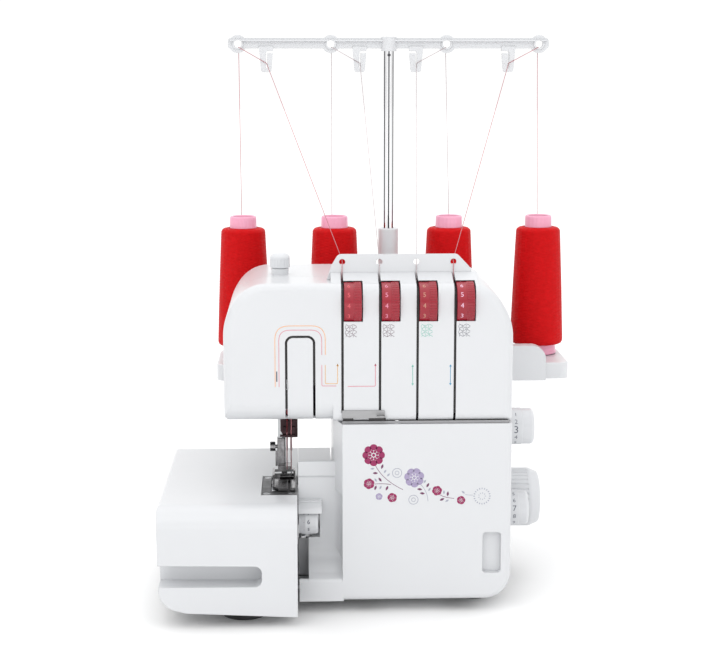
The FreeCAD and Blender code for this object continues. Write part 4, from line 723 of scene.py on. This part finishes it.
bm = bmesh.new()
tube(bm, [(U_LEFT - 2.0, -101.6, 200.5), (U_LEFT + 0.6, -103.0, 201.6), (U_LEFT + 0.9, -103.2, 193.6),
          (U_LEFT - 2.0, -101.6, 192.6)], 0.5)
piece("panel_loop", bm, FINISHES["bright_steel"], "root")


# ---------------------------------------------------------------- prints on the head
INKS = {
    "orange": (0.80, 0.36, 0.12), "pink": (0.62, 0.16, 0.22), "tan": (0.70, 0.36, 0.08),
    "green": (0.16, 0.46, 0.38), "blue": (0.05, 0.26, 0.44), "grey": (0.10, 0.11, 0.14),
    "slate": (0.13, 0.13, 0.16), "mauve": (0.16, 0.10, 0.13),
    "magenta": (0.27, 0.010, 0.085), "lavender": (0.33, 0.28, 0.43), "plum": (0.15, 0.035, 0.10),
    "mist": (0.34, 0.35, 0.42),
}
INK = {name: ink(f"ink_{name}", colour) for name, colour in INKS.items()}


def printed(name, colour, body, draw):
    """One print: draw adds its strips and patches to a bmesh."""
    bm = bmesh.new()
    draw(bm)
    return piece(name, bm, INK[colour], body, smooth=False)


def arrow(bm, x, z, size=1.7):
    patch(bm, [(x - size, z), (x + size, z), (x, z + 1.7 * size)], FACE_Y)


def outer_route(bm):
    ribbon(bm, arcs([(-86.3, 195.3), (-86.3, 246.3), (-44.9, 246.3), (-44.9, 221.9)], 11.5), 0.5, FACE_Y)


def inner_route(bm):
    ribbon(bm, arcs([(-83.1, 195.3), (-83.1, 242.8), (-47.8, 242.8), (-47.8, 221.9)], 9.0), 0.45, FACE_Y)
    ribbon(bm, arcs([(-47.8, 213.5), (-47.8, 195.9), (-35.9, 195.8)], 1.2), 0.45, FACE_Y)
    ribbon(bm, arcs([(-26.4, 195.4), (-3.6, 195.4), (-3.6, 214.1)], 1.0), 0.45, FACE_Y)
    arrow(bm, -3.6, 212.5, 1.1)


def tan_route(bm):
    ribbon(bm, arcs([(-45.0, 213.5), (-45.0, 197.8), (-34.8, 197.7), (-34.8, 214.3)], 1.2), 0.45, FACE_Y)
    arrow(bm, -34.8, 212.5, 1.1)


def straight_route(x):
    def draw(bm):
        ribbon(bm, [(x, 197.5), (x, 212.0)], 0.5, FACE_Y)
        arrow(bm, x, 211.5, 1.1)
        arrow(bm, x, 197.5, -1.1)
    return draw


def start_mark(bm):
    ribbon(bm, [(-85.0, 199.7), (-85.0, 208.3)], 1.0, FACE_Y)


def stitch_mark(x):
    """Generic stitch sign under a tension dial: two columns of looped threads with crossing stitches."""
    def draw(bm):
        for row in range(5):
            z = 237.6 + 2.2 * row
            lean = 0.8 if row % 2 else -0.8
            ribbon(bm, [(x - 2.4, z - lean), (x + 0.4, z + lean)], 0.35, FACE_Y)
            ribbon(bm, [(x + 0.8, z + lean), (x + 3.4, z - lean)], 0.35, FACE_Y)
            ribbon(bm, [(x + 3.8, z - lean), (x + 6.6, z + lean)], 0.35, FACE_Y)
        for u in (x - 2.4, x + 0.6, x + 3.6):
            wave = [(u + 0.5 * math.sin(1.4 * k), 236.6 + 1.1 * k) for k in range(10)]
            ribbon(bm, wave, 0.3, FACE_Y, PRINT_DEPTH * 0.7)
    return draw


printed("print_outer_route", "orange", "root", outer_route)
printed("print_inner_route", "pink", "root", inner_route)
printed("print_tan_route", "tan", "root", tan_route)
printed("print_third_route", "green", "root", straight_route(27.3))
printed("print_fourth_route", "blue", "root", straight_route(58.6))
printed("print_start_mark", "grey", "root", start_mark)
for i, (colour, x) in enumerate(zip(("mauve", "mauve", "green", "slate"), (-25.6, 5.4, 36.9, 67.9))):
    printed(f"print_stitch_{i + 1}", colour, "root", stitch_mark(x))


# ---------------------------------------------------------------- generic sprig on the looper cover
def blossom(bm, x, z, radius, petals, turn=0.0):
    """Simple round flower: separate outer and inner rows of oval petals round a small eye."""
    breadth = radius * math.sin(math.pi / petals)
    for k in range(petals):
        angle = turn + 2.0 * math.pi * k / petals
        place = around(x, z, 0.72 * radius, angle)
        patch(bm, oval(*place, 0.56 * radius, 1.72 * breadth, angle), COVER_Y)
        inner = angle + math.pi / petals
        place = around(x, z, 0.35 * radius, inner)
        patch(bm, oval(*place, 0.30 * radius, 0.62 * breadth, inner, 10), COVER_Y, PRINT_DEPTH * 0.8)
    patch(bm, circle(x, z, 0.14 * radius, 12), COVER_Y)


def leaf(bm, x, z, angle, length):
    patch(bm, oval(x, z, length, 0.52 * length, math.radians(angle), 14, 0.55), COVER_Y)


def magenta_flowers(bm):
    blossom(bm, -5.0, 137.0, 9.4, 8)
    blossom(bm, -8.8, 112.5, 4.6, 6, 0.4)
    blossom(bm, 48.2, 106.0, 4.2, 6, 0.2)
    blossom(bm, 10.6, 100.4, 4.0, 5, 0.5)
    blossom(bm, 68.4, 97.6, 3.6, 5)


def lavender_flowers(bm):
    blossom(bm, 29.0, 117.4, 8.4, 7, 0.3)
    blossom(bm, -0.4, 101.4, 2.9, 5, 0.2)


def plum_leaves(bm):
    for x, z, angle in ((-3.6, 121.6, 0), (2.2, 127.2, 70), (0.4, 116.0, -55), (-3.4, 109.0, 70),
                        (6.2, 108.6, 65), (33.6, 107.4, -5), (35.8, 103.8, -8), (40.4, 110.8, 60),
                        (57.2, 103.2, 85), (52.4, 98.4, 25)):
        leaf(bm, x, z, angle, 4.2)
    for a, bend, b in (((-3.4, 128.0), (3.0, 115.5), (19.5, 107.2)),
                       ((-4.2, 112.2), (3.0, 112.9), (9.6, 111.6)),
                       ((51.0, 102.2), (55.0, 99.8), (62.6, 99.2))):
        ribbon(bm, curve_path(a, bend, b), 0.45, COVER_Y, PRINT_DEPTH * 0.6)


def mist_leaves(bm):
    """Pale leaves, two rings, two stalks and a round head of small ovals."""
    for x, z, angle in ((-6.0, 125.4, 5), (4.6, 123.0, 55), (7.4, 120.0, 45), (-3.2, 115.6, -60),
                        (0.8, 109.2, 65), (37.8, 114.0, 55), (41.8, 107.2, 60), (54.0, 104.6, 90),
                        (56.6, 97.2, 30), (70.2, 104.4, -40)):
        leaf(bm, x, z, angle, 3.4)
    for x, z, r in ((14.6, 121.6, 3.9), (28.4, 98.4, 3.9)):
        ribbon(bm, circle(x, z, r), 0.5, COVER_Y, closed=True)
        ribbon(bm, circle(x, z, r * 0.42, 16), 0.45, COVER_Y, closed=True)
    for count, reach, length, width in ((20, 6.6, 1.6, 1.0), (9, 2.8, 1.3, 0.7)):
        for angle in ring_angles(count):
            patch(bm, oval(*around(86.0, 100.9, reach, angle), length, width, angle, 8), COVER_Y)
    ribbon(bm, curve_path((33.0, 112.8), (40.2, 106.5), (40.6, 97.0)), 0.45, COVER_Y, PRINT_DEPTH * 0.6)
    ribbon(bm, curve_path((72.0, 102.4), (75.0, 101.8), (78.4, 101.9)), 0.4, COVER_Y, PRINT_DEPTH * 0.6)


printed("print_magenta_flowers", "magenta", "looper_cover", magenta_flowers)
printed("print_lavender_flowers", "lavender", "looper_cover", lavender_flowers)
printed("print_plum_leaves", "plum", "looper_cover", plum_leaves)
printed("print_mist_leaves", "mist", "looper_cover", mist_leaves)


# ---------------------------------------------------------------- numbers on the dials
NUMERAL_STEP = math.radians(30.0)           # between two numbers of a tension dial
NUMERAL_AT_REST = 4
NUMERAL_SIZE = 5.6
NUMERAL_SHARE = 0.27                        # place of the numbers across the width of a dial
NUMERAL_SINK = 0.42                         # how far they start under the widest part of a dial
NUMERAL_INKS = (ink("numeral_rose", (0.66, 0.10, 0.12)), ink("numeral_pink", (0.74, 0.26, 0.38)),
                ink("numeral_olive", (0.50, 0.24, 0.17)), ink("numeral_pale", (0.80, 0.50, 0.64)))
for i, colour in enumerate(NUMERAL_INKS):
    node = f"tension_dial_{i + 1}"
    centre = axis_of(node)
    low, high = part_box(node)
    radius = (high.z - low.z) / 2 / MM - NUMERAL_SINK
    across = low.x / MM + NUMERAL_SHARE * (high.x - low.x) / MM
    bm = bmesh.new()
    for digit in range(10):
        angle = (digit - NUMERAL_AT_REST) * NUMERAL_STEP
        numeral(bm, str(digit), NUMERAL_SIZE, round_dial(centre, across, radius, angle))
    piece(f"tension_numbers_{i + 1}", bm, colour, f"tension_{i + 1}", smooth=False)


def dial_numbers(name, node, body, across, radius, marks, step, lean=0.0):
    """Numbers round a dial about +X with a tick left of each; each mark is its text and its size."""
    centre = axis_of(node)
    bm = bmesh.new()
    for k, (text, size) in enumerate(marks):
        angle = math.radians((len(marks) // 2 - k) * step + lean)
        numeral(bm, text, size, round_dial(centre, across, radius, angle))
        numeral(bm, "-", 3.0, round_dial(centre, across - 3.9, radius, angle))
    return piece(name, bm, INK["grey"], body, smooth=False)


dial_numbers("length_numbers", "stitch_length_dial", "length_dial", 119.2, 16.0,
             (("1", 5.0), ("2", 5.5), ("3", 9.0), ("4", 5.5), ("5", 5.0)), 25.0)
dial_numbers("ratio_numbers", "differential_dial", "feed_ratio_dial", 118.6, 15.5,
             (("5", 5.0), ("6", 5.0), ("7", 7.0), ("8", 5.5), ("9", 5.0)), 26.0, 12.0)
dial_numbers("width_numbers", "stitch_width_dial", "width_dial", -59.4, 12.0,
             (("7", 4.2), ("6", 5.4), ("5", 4.2)), 34.0, 8.0)


# ---------------------------------------------------------------- floor, light and camera, in metres
FLOOR_RADIUS = 14.0
SKY_LEVEL, SKY_RISE = 1.06, 0.45            # brightness at the horizon, and how much is added overhead
SIDE_SHADE = 0.5                            # share of the light taken away in the grey bands
LENS, SENSOR = 79.78, 36.0                  # of the camera, in millimetres
CAMERA_AT = (-0.063, -1.399, 0.46127)
PITCH, YAW = math.radians(9.5), math.radians(2.1)


def floor():
    """Wide pale floor that the machine stands on."""
    bm = bmesh.new()
    bm.faces.new([bm.verts.new((x, y, 0.0)) for x, y in circle(0.0, 0.0, FLOOR_RADIUS, 96)])
    mesh = bpy.data.meshes.new("floor")
    bm.to_mesh(mesh)
    bm.free()
    f = Finish("floor_pale")
    f.colour(f.noise(3.0), (0.2, (0.90, 0.90, 0.90)), (0.8, (0.92, 0.92, 0.92)))
    f.roughness(f.noise(30.0), 0.8, 0.95)
    mesh.materials.append(f.material)
    made = bpy.data.objects.new("floor", mesh)
    bpy.context.scene.collection.objects.link(made)
    made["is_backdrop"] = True


def area_light(name, place, target, size, power):
    light = bpy.data.lights.new(name, "AREA")
    light.shape = "RECTANGLE"
    light.size, light.size_y = size
    light.energy = power
    made = bpy.data.objects.new(name, light)
    made.location = place
    made.rotation_euler = (Vector(target) - Vector(place)).to_track_quat("-Z", "Y").to_euler()
    bpy.context.scene.collection.objects.link(made)


def grey_ramp(tree, value, stops):
    return colour_ramp(tree, value, [(position, (level, level, level)) for position, level in stops])


def studio():
    """White surroundings, brighter overhead, a little greyer low down at both sides to model the edges."""
    world = bpy.data.worlds.new("studio")
    bpy.context.scene.world = world
    world.use_nodes = True
    tree = world.node_tree
    split = tree.nodes.new("ShaderNodeSeparateXYZ")
    tree.links.new(tree.nodes.new("ShaderNodeTexCoord").outputs["Generated"], split.inputs["Vector"])
    x, y, z = split.outputs
    turn = maths(tree, "ARCTAN2", maths(tree, "ABSOLUTE", x), maths(tree, "MULTIPLY", y, -1.0))
    share = maths(tree, "DIVIDE", turn, math.pi)
    bands = ((0.045, 1.0), (0.075, 0.0), (0.42, 0.0), (0.47, 1.0), (0.68, 1.0), (0.74, 0.0))
    heights = ((0.08, 0.0), (0.15, 1.0), (0.32, 1.0), (0.5, 0.0))
    low = maths(tree, "MULTIPLY", grey_ramp(tree, share, bands), grey_ramp(tree, z, heights))
    shade = maths(tree, "MULTIPLY", low, SIDE_SHADE)
    rise = maths(tree, "MULTIPLY", maths(tree, "MAXIMUM", z, 0.0), SKY_RISE)
    sky = maths(tree, "ADD", rise, SKY_LEVEL)
    level = maths(tree, "MULTIPLY", sky, maths(tree, "SUBTRACT", 1.0, shade))
    background = tree.nodes["Background"]
    background.inputs["Color"].default_value = (1.0, 1.0, 1.0, 1.0)
    tree.links.new(level, background.inputs["Strength"])
    area_light("key", (-1.1, -1.9, 1.9), (0.0, 0.0, 0.2), (1.6, 1.2), 5.0)
    area_light("top", (0.0, 0.5, 2.2), (0.0, 0.0, 0.2), (2.0, 1.6), 3.0)
    area_light("low", (0.2, -2.3, 0.35), (0.0, 0.0, 0.1), (2.4, 0.6), 3.0)


def camera():
    """Long lens in front of the machine, a little above it and to its left."""
    data = bpy.data.cameras.new("camera")
    data.lens = LENS
    data.sensor_width = SENSOR
    made = bpy.data.objects.new("camera", data)
    level = math.cos(PITCH)
    forward = Vector((math.sin(YAW) * level, math.cos(YAW) * level, -math.sin(PITCH)))
    made.location = CAMERA_AT
    made.rotation_euler = forward.to_track_quat("-Z", "Y").to_euler()
    bpy.context.scene.collection.objects.link(made)
    bpy.context.scene.camera = made


floor()
studio()
camera()
bpy.context.scene.view_settings.view_transform = "Standard"

low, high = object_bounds()
